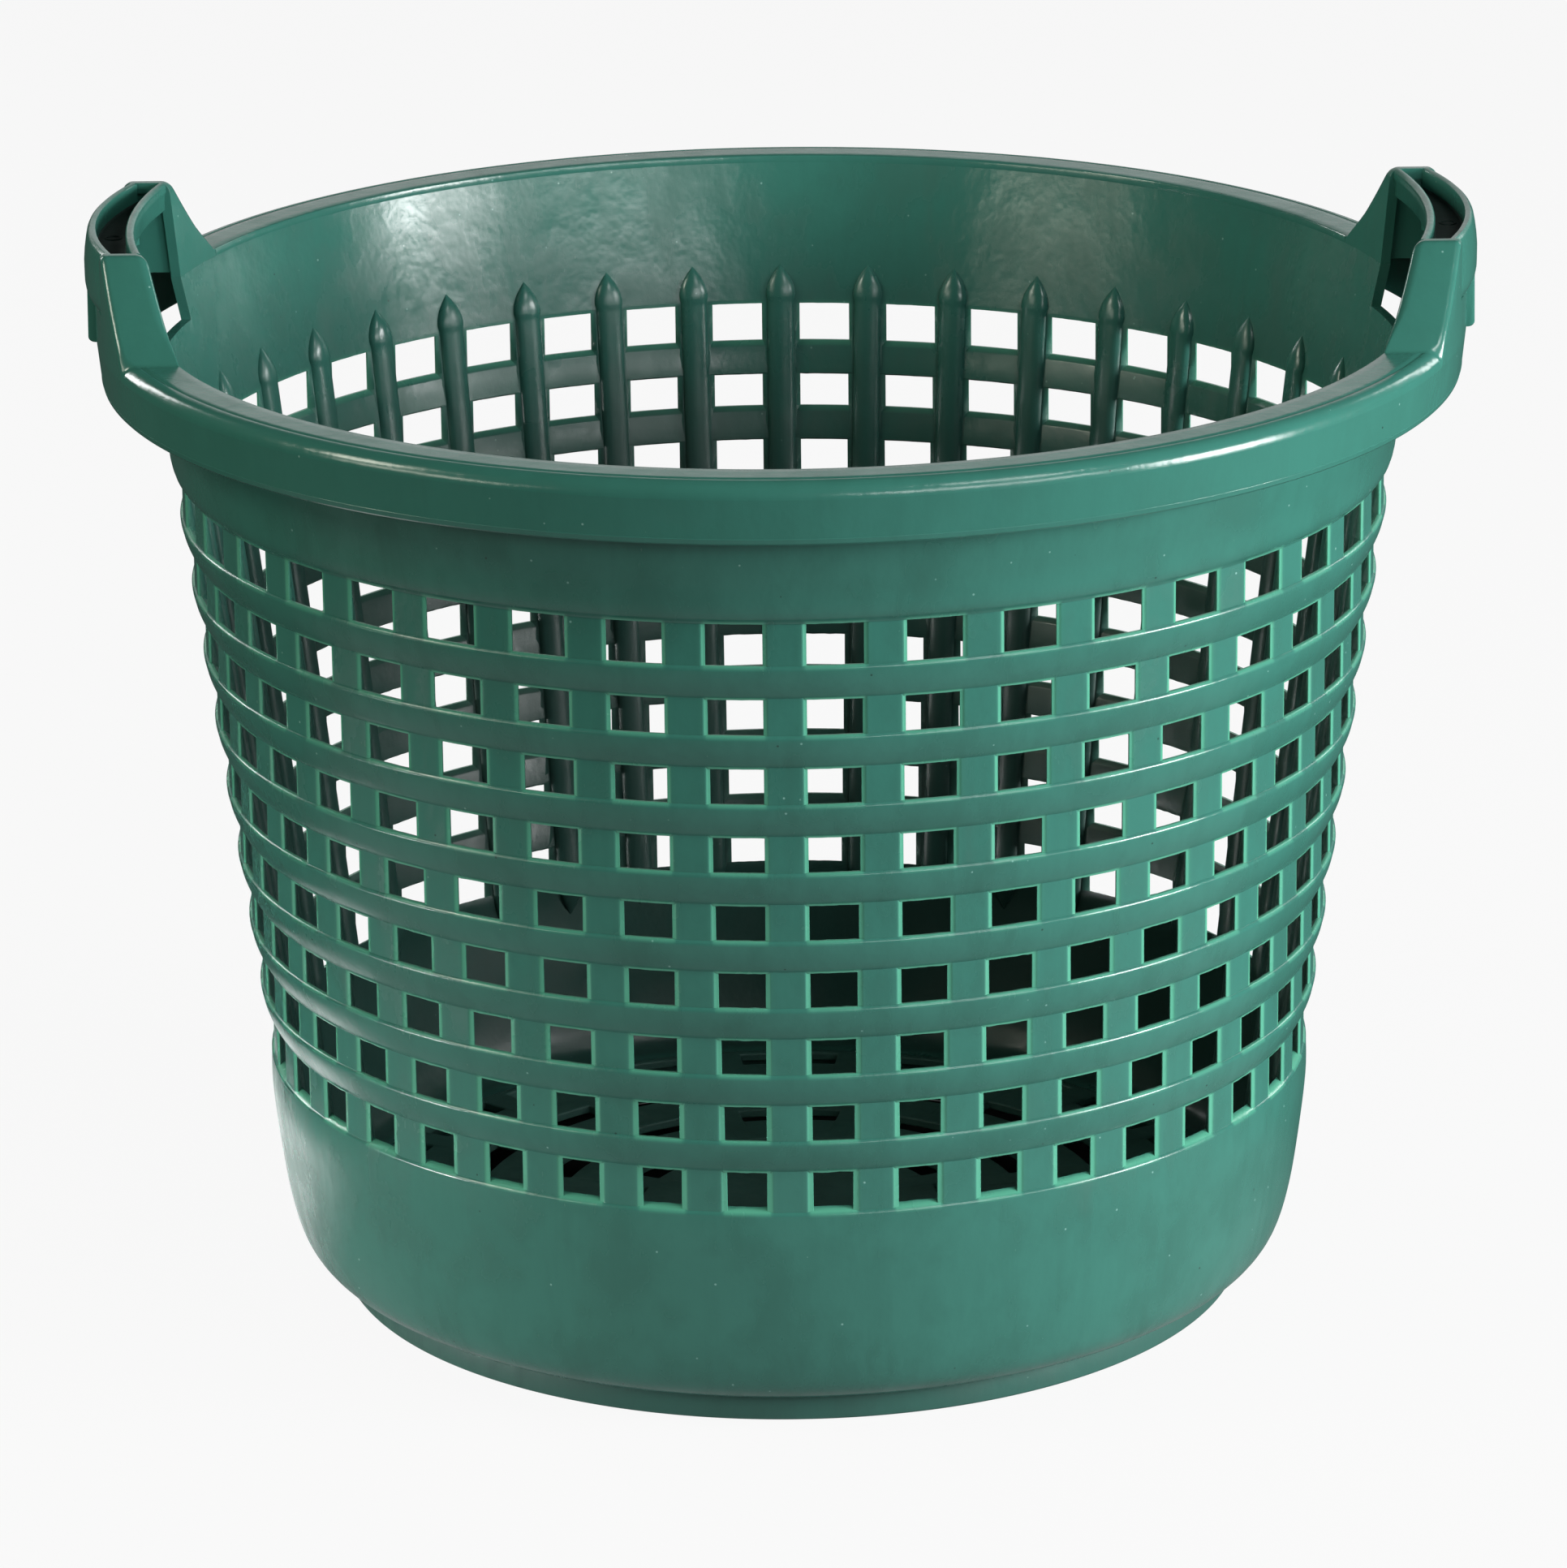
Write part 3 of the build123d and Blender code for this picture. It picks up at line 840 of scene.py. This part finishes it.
def ear_sections(size, lift):
    """Outer skin and hollow of an ear in a plane across the grip, at a share of the ear's height."""
    top = blend(RIM_TOP, GRIP_TOP, lift)
    shoulder = blend(RIM_RADIUS - size["plate_edge"], size["ear_edge"], eased(lift / 0.1))
    corner = blend(0.8, size["ear_corner"], eased(lift * 2.2))
    skin = [(size["collar_inner"], PLATE_BOTTOM)]
    for step in range(1, 4):
        level = blend(PLATE_BOTTOM, top - corner, step / 4)
        skin.append((ear_face(size, level), level))
    flat_start = ear_face(size, top - corner) + corner
    flat_stop = RIM_RADIUS - shoulder
    skin += arc((flat_start, top - corner), corner, 180, 90, 8)
    skin.append((blend(flat_start, flat_stop, 0.5), top))
    skin += arc((flat_stop, top - shoulder), shoulder, 90, 0, 10)
    skin += [(RIM_RADIUS, blend(top - shoulder, SKIRT_TOP, 0.5)), (RIM_RADIUS, SKIRT_TOP)]
    web_low = PLATE_BOTTOM + WEB_LOW
    under = max(top - size["ear_roof"], web_low + 0.1)
    outer = RIM_RADIUS - size["skirt_wall"]
    inner = size["collar_inner"] + size["collar_wall"]
    hollow = [(outer, SKIRT_TOP), (outer, web_low), (outer, under)]
    hollow += [(ear_face(size, under) + size["collar_wall"], under), (inner, web_low), (inner, PLATE_BOTTOM)]
    return skin, hollow


class BASKET_OT_ears(PieceOperator, bpy.types.Operator):
    """Loft the four hollow ears that lift the rim to the grips"""

    bl_idname = "basket.ears"
    bl_label = "Ears"

    def build(self, size):
        web_back = EAR_NEAR + WEB_BACK
        ramp = [0.02, 0.04, 0.06, 0.08] + [step / 10 for step in range(1, 10)] + [0.94, 0.96, 0.98, 1.0]
        stations = [(EAR_NEAR, 1.0), (EAR_NEAR + WEB_FRONT, 1.0), (web_back, 1.0)]
        stations += [(blend(web_back, EAR_FAR, place), ear_climb(1.0 - place)) for place in ramp]
        for side, turn_x in (("right", 1), ("left", -1)):
            for end, turn_y in (("front", -1), ("back", 1)):
                shape = self.ear(size, stations, turn_x, turn_y)
                shape.piece("%s_ear_%s" % (side, end), ["%s_%s_ear" % (side, end)], "Rim plastic", bevel=0.5)

    def ear(self, size, stations, turn_x, turn_y):
        """One ear, whose hollow is closed by a web between its second and third stations."""
        shape = Moulding()
        skins = []
        hollows = []
        for y, lift in stations:
            for rows, outline in zip((skins, hollows), ear_sections(size, lift)):
                rows.append(shape.row([on_plane(r, y, z, turn_x, turn_y) for r, z in outline]))
        last = len(hollows[0]) - 1
        for index in range(len(stations) - 1):
            skin, next_skin = skins[index:index + 2]
            a, b = hollows[index:index + 2]
            shape.strip(skin, next_skin, closed=False)
            for part in range(last):
                if index != 1 or part in (0, last - 1):
                    shape.faces.append((a[part], a[part + 1], b[part + 1], b[part]))
            shape.faces.append((skin[0], next_skin[0], b[last], a[last]))
            shape.faces.append((skin[-1], next_skin[-1], b[0], a[0]))
        a, b = hollows[1:3]
        shape.faces += [tuple(a[1:last]), tuple(b[1:last]), (a[1], b[1], b[last - 1], a[last - 1])]
        shape.faces += [tuple(skins[0] + hollows[0]), tuple(skins[-1] + hollows[-1])]
        return shape


def bowed_point(offset, y, level, turn_x):
    """A point at an offset from the bowed outer face of a grip."""
    bulge = GRIP_REACH - math.sqrt(RIM_RADIUS ** 2 - EAR_NEAR ** 2)
    bow_radius = (EAR_NEAR ** 2 + bulge ** 2) / (2 * bulge)
    bow_centre = GRIP_REACH - bow_radius
    return (turn_x * (bow_centre + math.sqrt((bow_radius + offset) ** 2 - y * y)), y, level)


class BASKET_OT_grips(PieceOperator, bpy.types.Operator):
    """Loft the outer walls, lips and channel floors of both grips"""

    bl_idname = "basket.grips"
    bl_label = "Grips"

    def build(self, size):
        wall = size["grip_wall"]
        lip_out = size["lip_radius"] + size["lip_wall"]
        fillet = 0.6
        channel = [
            (on_plane, lip_out, CHANNEL_BOTTOM),
            (bowed_point, -wall, CHANNEL_BOTTOM),
            (bowed_point, -wall, CHANNEL_TOP + fillet),
            (bowed_point, -wall - fillet, CHANNEL_TOP),
            (on_plane, lip_out + fillet, CHANNEL_TOP),
            (on_plane, lip_out, CHANNEL_TOP + fillet),
        ]
        outer = [(bowed_point, offset, level) for offset, level in grip_face(size)]
        apron = [(on_plane, radius, level) for radius, level in grip_apron(size)]
        lip = [(on_plane, radius, level) for radius, level in grip_lip(size)]
        for side, turn_x in (("right", 1), ("left", -1)):
            shape = Moulding()
            along_grip(shape, outer, turn_x)
            along_grip(shape, apron, turn_x)
            grip_tab(shape, size, turn_x)
            shape.piece(side + "_grip_wall", [side + "_grip_outer_wall"], "Rim plastic")
            shape = Moulding()
            along_grip(shape, lip, turn_x)
            shape.piece(side + "_grip_lip", [side + "_grip_inner_wall"], "Rim plastic")
            shape = Moulding()
            along_grip(shape, channel, turn_x)
            gate_ring(shape, turn_x * 0.5 * (lip_out + GRIP_REACH - wall), CHANNEL_TOP)
            shape.piece(side + "_grip_channel", [side + "_grip_floor"], "Channel plastic")


def along_grip(shape, outline, turn_x):
    """Loft an outline from ear to ear. Each of its points has a maker, a radius or offset, and a level."""
    steps = 48
    stations = [blend(-EAR_NEAR, EAR_NEAR, step / steps) for step in range(steps + 1)]
    shape.loft([[point(r, y, z, turn_x) for point, r, z in outline] for y in stations])


def grip_face(size):
    """Outline of the bowed outer wall of a grip, as offsets from its outermost face."""
    wall = size["grip_wall"]
    face = [(-2.4, 0.0), (-1.3, 1.0), (-0.35, 3.2), (-0.05, 5.0), (0.0, 7.0), (0.0, 12.5)]
    face += [(-0.35, 16.5), (-0.95, 20.5), (-1.5, 23.2), (-2.0, 24.3)]
    outline = [(-wall, size["bow_bottom"] + 0.5), (-wall + 0.5, size["bow_bottom"])]
    outline += [(offset, size["bow_bottom"] + rise) for offset, rise in face]
    outline += [(-2.8, GRIP_TOP), (-wall + 1.0, GRIP_TOP)]
    outline += [(-wall + 0.3, GRIP_TOP - 0.35), (-wall, GRIP_TOP - 1.0)]
    return outline


def grip_apron(size):
    """Outline of the wall between the skirt and the bowed part of a grip."""
    inner = RIM_RADIUS - 3.5
    top = size["bow_bottom"] + GRIP_OVERLAP
    return [(inner, SKIRT_TOP), (RIM_RADIUS, SKIRT_TOP), (RIM_RADIUS, top), (inner, top)]


def grip_lip(size):
    """Outline of the inner wall of a grip with its rounded lip."""
    inner = size["lip_radius"]
    outer = inner + size["lip_wall"]
    rounding = 0.5 * size["lip_wall"]
    bead = GRIP_TOP - 4.6
    outline = [(inner, bead + 0.8), (inner + 0.3, bead), (inner + 0.6, bead - 0.5)]
    outline += [(inner + 0.6, CHANNEL_BOTTOM + 0.8), (inner + 1.2, CHANNEL_BOTTOM), (outer, CHANNEL_BOTTOM)]
    outline += arc((0.5 * (inner + outer), GRIP_TOP - rounding), rounding, 0, 180, 10)
    return outline


def grip_tab(shape, size, turn_x):
    """Short tab that hangs from the bowed wall over the skirt, with rounded lower corners."""
    inner = RIM_RADIUS - 1.0
    outer = GRIP_REACH - 1.0
    top = size["bow_bottom"] + GRIP_OVERLAP
    half = size["tab_half"]
    rounding = 0.8
    outline = [(inner, top), (inner, TAB_BOTTOM)]
    outline += arc((outer - 2.0, TAB_BOTTOM + 2.0), 2.0, -90, 0, 6)
    outline += [(outer - 0.3, top)]
    rows = []
    for y in (-half, -half + 0.25, -half + rounding, 0.0, half - rounding, half - 0.25, half):
        drawn = max(0.0, abs(y) - half + rounding)
        rows.append([(turn_x * (x - drawn * drawn if x > inner else x), y, z) for x, z in outline])
    shape.loft(rows)


def gate_ring(shape, x, level):
    """Low round ring that the mould leaves on the channel floor."""
    section = ((2.5, -0.2), (2.7, 0.3), (3.3, 0.3), (3.5, -0.2))
    rows = []
    for angle in even_angles(28):
        turned = [at(radius, angle, level + rise) for radius, rise in section]
        rows.append([(x + across, along, height) for across, along, height in turned])
    shape.loft(rows, ring=True)


def feed(tree, socket, value):
    """Link a socket to another, or set its value."""
    if isinstance(value, bpy.types.NodeSocket):
        tree.links.new(value, socket)
    else:
        socket.default_value = value


def add_node(tree, kind, inputs, operation=None):
    """A new shader node with its inputs fed, by label or by number."""
    node = tree.nodes.new("ShaderNode" + kind)
    if operation:
        node.operation = operation
    for label, value in inputs.items():
        feed(tree, node.inputs[label], value)
    return node


def coordinates(tree):
    """Outputs of a new texture coordinate node."""
    return tree.nodes.new("ShaderNodeTexCoord").outputs


def stretched_noise(tree, scale, texture_scale, detail, roughness):
    """Noise over the object's own space, stretched by a scale."""
    stretch = add_node(tree, "Mapping", {"Vector": coordinates(tree)["Object"], "Scale": scale})
    look = {"Scale": texture_scale, "Detail": detail, "Roughness": roughness}
    return add_node(tree, "TexNoise", {"Vector": stretch.outputs["Vector"], **look}).outputs["Fac"]


def ranged(tree, value, start, stop, low_value=0.0, high_value=1.0):
    """Map a range of a value to another, clamped."""
    limits = {"From Min": start, "From Max": stop, "To Min": low_value, "To Max": high_value}
    return add_node(tree, "MapRange", {"Value": value, **limits}).outputs["Result"]


def combined(tree, operation, a, b):
    """Math node on two sockets or numbers."""
    return add_node(tree, "Math", {0: a, 1: b}, operation).outputs["Value"]


def times(tree, *values):
    """Product of several sockets or numbers."""
    product = values[0]
    for value in values[1:]:
        product = combined(tree, "MULTIPLY", product, value)
    return product


def mixed(tree, amount, a, b):
    """Colour mix of two sockets or colours by a socket."""
    node = tree.nodes.new("ShaderNodeMix")
    node.data_type = "RGBA"
    sockets = {socket.identifier: socket for socket in [*node.inputs, *node.outputs]}
    for label, value in (("Factor_Float", amount), ("A_Color", a), ("B_Color", b)):
        feed(tree, sockets[label], value)
    return sockets["Result_Color"]


def flow_streaks(tree, given):
    """Upright flow streaks and soft clouds in the moulded skin: their mask, height and wave."""
    fine = stretched_noise(tree, (1.0, 1.0, 0.05), 170.0, 3.0, 0.6)
    wide = stretched_noise(tree, (1.0, 1.0, 0.12), 46.0, 2.0, 0.5)
    cloud = stretched_noise(tree, (1.0, 1.0, 0.8), 34.0, 4.0, 0.6)
    streak = times(tree, ranged(tree, fine, 0.40, 0.75), ranged(tree, wide, 0.35, 0.70), given["Streaks"])
    haze = times(tree, ranged(tree, cloud, 0.42, 0.64), given["Clouds"])
    return combined(tree, "ADD", streak, haze), combined(tree, "ADD", fine, wide), cloud


def satin_grain(tree, given):
    """Fine satin grain as a height."""
    grain = stretched_noise(tree, (1.0, 1.0, 1.0), 2100.0, 2.0, 0.5)
    orange_peel = stretched_noise(tree, (1.0, 1.0, 1.0), 420.0, 2.0, 0.5)
    return (combined(tree, "ADD", grain, times(tree, orange_peel, given["Coarse"])),)


def specks(tree, given):
    """Pale rubbed specks and dark specks as two masks."""
    chance_needed = 0.72
    masks = []
    for label, scale, radius in (("Pale", 145.0, 0.075), ("Dark", 95.0, 0.05)):
        cells = add_node(tree, "TexVoronoi", {"Vector": coordinates(tree)["Object"], "Scale": scale}).outputs
        chance = add_node(tree, "SeparateColor", {"Color": cells["Color"]}).outputs["Red"]
        dots = ranged(tree, cells["Distance"], radius, 0.6 * radius)
        few = combined(tree, "GREATER_THAN", chance, chance_needed)
        masks.append(times(tree, dots, few, given[label]))
    return masks


def painted_inner_shade(tree, given):
    """Mask of the painted shade on the inner faces low down in the basket, or everywhere."""
    # Levels in metres where the painted shade begins and where it is full
    unshaded_level = 0.375
    fully_shaded_level = 0.255
    place = coordinates(tree)
    split = add_node(tree, "SeparateXYZ", {"Vector": place["Object"]}).outputs
    flat = add_node(tree, "CombineXYZ", {"X": split["X"], "Y": split["Y"]}).outputs["Vector"]
    outward = add_node(tree, "VectorMath", {0: flat}, "NORMALIZE").outputs["Vector"]
    facing = add_node(tree, "VectorMath", {0: outward, 1: place["Normal"]}, "DOT_PRODUCT").outputs["Value"]
    shaded = times(
        tree, ranged(tree, facing, 0.3, -0.25), ranged(tree, split["Z"], unshaded_level, fully_shaded_level)
    )
    shaded = combined(tree, "MAXIMUM", shaded, given["Everywhere"])
    return (times(tree, shaded, given["Amount"]),)


# Maker, inputs and outputs of each shared shader group
GROUPS = {
    "Flow streaks": (flow_streaks, ("Streaks", "Clouds"), ("Mask", "Height", "Wave")),
    "Satin grain": (satin_grain, ("Coarse",), ("Height",)),
    "Specks": (specks, ("Pale", "Dark"), ("Pale", "Dark")),
    "Inner soil": (painted_inner_shade, ("Amount", "Everywhere"), ("Mask",)),
}


def shared_group(name):
    """A shared shader group, made on first use."""
    found = bpy.data.node_groups.get(name)
    if found:
        return found
    make, inputs, outputs = GROUPS[name]
    tree = bpy.data.node_groups.new(name, "ShaderNodeTree")
    for labels, way in ((inputs, "INPUT"), (outputs, "OUTPUT")):
        for label in labels:
            tree.interface.new_socket(label, in_out=way, socket_type="NodeSocketFloat")
    start = tree.nodes.new("NodeGroupInput")
    stop = tree.nodes.new("NodeGroupOutput")
    for label, socket in zip(outputs, make(tree, start.outputs)):
        tree.links.new(socket, stop.inputs[label])
    return tree


def placed(tree, name, **values):
    """Outputs of a shared group with its values set."""
    node = tree.nodes.new("ShaderNodeGroup")
    node.node_tree = shared_group(name)
    for label, value in values.items():
        node.inputs[label].default_value = value
    return node.outputs


def green_plastic(name):
    """Satin green polyethylene with streaks, specks, painted glow on thin edges and painted shade, in one of
    the finishes.
    """
    found = bpy.data.materials.get(name)
    if found:
        return found
    streaks, clouds, coarse, painted_shade, everywhere = FINISHES[name]
    look = bpy.context.scene.basket_colours
    material = bpy.data.materials.new(name)
    material.use_nodes = True
    tree = material.node_tree
    flow = placed(tree, "Flow streaks", Streaks=streaks, Clouds=clouds)
    grain = placed(tree, "Satin grain", Coarse=coarse)
    dots = placed(tree, "Specks", Pale=0.8, Dark=0.8)
    # Painted shade: darker, rougher plastic where shade falls
    painted_shade_mask = placed(tree, "Inner soil", Amount=painted_shade, Everywhere=everywhere)["Mask"]
    # Share of painted edge glow from the mesh attribute
    thin = tree.nodes.new("ShaderNodeAttribute")
    thin.attribute_name = "thin"
    base = tuple(look.body)
    layers = [(flow["Mask"], look.deep), (dots["Pale"], look.bloom), (dots["Dark"], look.grime)]
    # Painted edge glow, then painted shade in the dark speck colour
    layers += [(thin.outputs["Fac"], look.thin), (painted_shade_mask, look.grime)]
    for mask, tint in layers:
        base = mixed(tree, mask, base, tuple(tint))
    streak_roughness = 0.26
    shade_roughness = blend(0.18, 0.60, everywhere)
    rough = ranged(tree, flow["Mask"], 0.0, 1.0, look.roughness, look.roughness + streak_roughness)
    rough = combined(tree, "ADD", rough, times(tree, painted_shade_mask, shade_roughness))
    wave = {"Strength": look.waviness, "Distance": 0.004, "Height": flow["Wave"]}
    fine = {"Strength": 0.06, "Distance": 0.0004}
    fine["Height"] = combined(tree, "ADD", grain["Height"], flow["Height"])
    fine["Normal"] = add_node(tree, "Bump", wave).outputs["Normal"]
    skin = tree.nodes["Principled BSDF"]
    tree.links.new(base, skin.inputs["Base Color"])
    tree.links.new(rough, skin.inputs["Roughness"])
    tree.links.new(add_node(tree, "Bump", fine).outputs["Normal"], skin.inputs["Normal"])
    skin.inputs["Specular IOR Level"].default_value = 0.5
    skin.inputs["IOR"].default_value = 1.5
    return material


def grey(value):
    """A grey with no colour in it."""
    return (value, value, value, 1.0)


def studio_floor(scene):
    """Pale floor that gives light back in front of the basket and, brightly, close beside it at the left.

    Distances are in metres.
    """
    half = 30.0
    mesh = bpy.data.meshes.new("studio_floor")
    corners = [(-half, -half, 0), (half, -half, 0), (half, half, 0), (-half, half, 0)]
    mesh.from_pydata(corners, [], [(0, 1, 2, 3)])
    floor = bpy.data.objects.new("studio_floor", mesh)
    scene.collection.objects.link(floor)
    pale = bpy.data.materials.new("Studio floor")
    pale.use_nodes = True
    tree = pale.node_tree
    place = coordinates(tree)["Object"]
    away = add_node(tree, "VectorMath", {0: place}, "LENGTH").outputs["Value"]
    split = add_node(tree, "SeparateXYZ", {"Vector": place}).outputs
    camera_ray = tree.nodes.new("ShaderNodeLightPath").outputs["Is Camera Ray"]
    foot = FOOT_RADIUS * MILLIMETRE
    in_front = times(tree, ranged(tree, away, 1.10, 0.45), ranged(tree, split["Y"], 0.10, -0.10))
    at_left = times(tree, ranged(tree, split["X"], -0.09, -0.30), ranged(tree, split["Y"], -0.06, 0.03))
    close_left = times(tree, ranged(tree, away, 0.39, 0.29), at_left)
    not_under = ranged(tree, away, foot - 0.0035, foot - 0.001)
    glow = mixed(tree, in_front, grey(0.02), tuple(scene.basket_colours.bounce))
    glow = mixed(tree, close_left, glow, grey(1.6))
    glow = mixed(tree, camera_ray, glow, tuple(scene.basket_colours.floor))
    glow = mixed(tree, not_under, grey(0.0), glow)
    skin = tree.nodes["Principled BSDF"]
    skin.inputs["Base Color"].default_value = grey(0.03)
    skin.inputs["Roughness"].default_value = 0.9
    skin.inputs["Specular IOR Level"].default_value = 0.0
    skin.inputs["Emission Strength"].default_value = 1.0
    tree.links.new(glow, skin.inputs["Emission Color"])
    mesh.materials.append(pale)


def softbox(name, place, target, width, height, power, tint, spread=180.0):
    """Rectangular studio light at a place, aimed at a target, with its spread in degrees."""
    data = bpy.data.lights.new(name, "AREA")
    data.shape = "RECTANGLE"
    data.size = width
    data.size_y = height
    data.energy = power
    data.color = tint
    data.spread = math.radians(spread)
    obj = bpy.data.objects.new(name, data)
    bpy.context.scene.collection.objects.link(obj)
    obj.location = place
    obj.rotation_euler = (Vector(target) - Vector(place)).to_track_quat("-Z", "Y").to_euler()


def studio_lights():
    """Low side key, soft fills, a narrow light on the bowl and two strips behind."""
    middle = (0.0, 0.0, 0.2)
    bowl = (0.0, 0.0, 0.05)
    white = (1.0, 1.0, 1.0)
    warm = (1.0, 0.99, 0.84)
    softbox("Key light", (2.233, -0.725, 0.70), middle, 0.9, 0.9, 84.0, white)
    softbox("Upper key light", (1.155, -1.283, 1.867), middle, 0.6, 0.4, 9.0, white)
    softbox("Wide panel", (1.20, -1.90, 0.97), middle, 1.5, 0.4, 16.5, white)
    softbox("Left light", (-1.899, -0.509, 1.577), middle, 0.5, 0.6, 14.0, warm)
    softbox("Low left light", (-1.95, -1.18, 0.95), middle, 1.2, 0.4, 10.0, warm)
    softbox("Bowl light", (-1.45, -0.25, 0.08), bowl, 0.6, 0.1, 0.36, white, spread=24.0)
    softbox("Left strip", (-1.60, 1.45, 1.05), middle, 0.2, 0.9, 9.0, white)
    softbox("Right strip", (1.60, 1.45, 1.05), middle, 0.2, 0.9, 5.0, white)


def studio_world(scene):
    """Dim room with a light wall behind the basket."""
    dim = 0.02
    wall = 0.70
    world = bpy.data.worlds.new("Studio")
    world.use_nodes = True
    scene.world = world
    tree = world.node_tree
    split = add_node(tree, "SeparateXYZ", {"Vector": coordinates(tree)["Generated"]}).outputs
    behind = ranged(tree, split["Y"], 0.84, 0.93)
    sky = tree.nodes["Background"]
    tree.links.new(ranged(tree, behind, 0.0, 1.0, dim, wall), sky.inputs["Color"])
    sky.inputs["Strength"].default_value = 1.0


def photo_camera(scene):
    """Camera of the photograph, in pixels of the photograph, metres and radians."""
    photo_width = 1931.0
    focal_pixels = 9081.0
    centre_shift = (-70.09, 22.23)
    sensor = 36.0
    place = (0.0, -2.747, 1.089)
    pitch = 0.3172
    yaw = -0.00849
    roll = -0.0135
    data = bpy.data.cameras.new("Photo camera")
    data.sensor_fit = "HORIZONTAL"
    data.sensor_width = sensor
    data.lens = sensor * focal_pixels / photo_width
    data.shift_x = -centre_shift[0] / photo_width
    data.shift_y = centre_shift[1] / photo_width
    data.clip_end = 100.0
    camera = bpy.data.objects.new("Photo camera", data)
    scene.collection.objects.link(camera)
    level = math.cos(pitch)
    forward = Vector((math.sin(yaw) * level, math.cos(yaw) * level, -math.sin(pitch)))
    right = Vector((math.cos(yaw), -math.sin(yaw), 0.0))
    up = right.cross(forward)
    turned_right = math.cos(roll) * right + math.sin(roll) * up
    turned_up = math.cos(roll) * up - math.sin(roll) * right
    basis = Matrix((turned_right, turned_up, -forward)).transposed()
    camera.matrix_world = Matrix.Translation(place) @ basis.to_4x4()
    scene.camera = camera


class BASKET_OT_stage(bpy.types.Operator):
    """Set the floor, the studio light and the camera"""

    bl_idname = "basket.stage"
    bl_label = "Stage"

    def execute(self, context):
        studio_floor(context.scene)
        studio_lights()
        studio_world(context.scene)
        photo_camera(context.scene)
        context.scene.view_settings.view_transform = "Standard"
        return {"FINISHED"}


class BASKET_PT_panel(bpy.types.Panel):
    """Sidebar panel of the basket"""

    bl_idname = "BASKET_PT_panel"
    bl_label = "Leaf Basket"
    bl_space_type = "VIEW_3D"
    bl_region_type = "UI"
    bl_category = "Basket"

    def draw(self, context):
        for operator in OPERATORS:
            self.layout.operator(operator.bl_idname)
        for group in (context.scene.basket_sizes, context.scene.basket_colours):
            for name in type(group).__annotations__:
                self.layout.prop(group, name)


OPERATORS = (
    BASKET_OT_floor,
    BASKET_OT_foot,
    BASKET_OT_bowl,
    BASKET_OT_hoops,
    BASKET_OT_uprights,
    BASKET_OT_collar,
    BASKET_OT_skirt,
    BASKET_OT_rim,
    BASKET_OT_ears,
    BASKET_OT_grips,
    BASKET_OT_stage,
)
CLASSES = (BasketSizes, BasketColours) + OPERATORS + (BASKET_PT_panel,)


def register():
    for entry in CLASSES:
        bpy.utils.register_class(entry)
    bpy.types.Scene.basket_sizes = PointerProperty(type=BasketSizes)
    bpy.types.Scene.basket_colours = PointerProperty(type=BasketColours)


def unregister():
    del bpy.types.Scene.basket_colours
    del bpy.types.Scene.basket_sizes
    for entry in reversed(CLASSES):
        bpy.utils.unregister_class(entry)


def main():
    """Build every piece in order."""
    register()
    for operator in OPERATORS:
        family, name = operator.bl_idname.split(".")
        getattr(getattr(bpy.ops, family), name)()


if __name__ == "__main__":
    main()
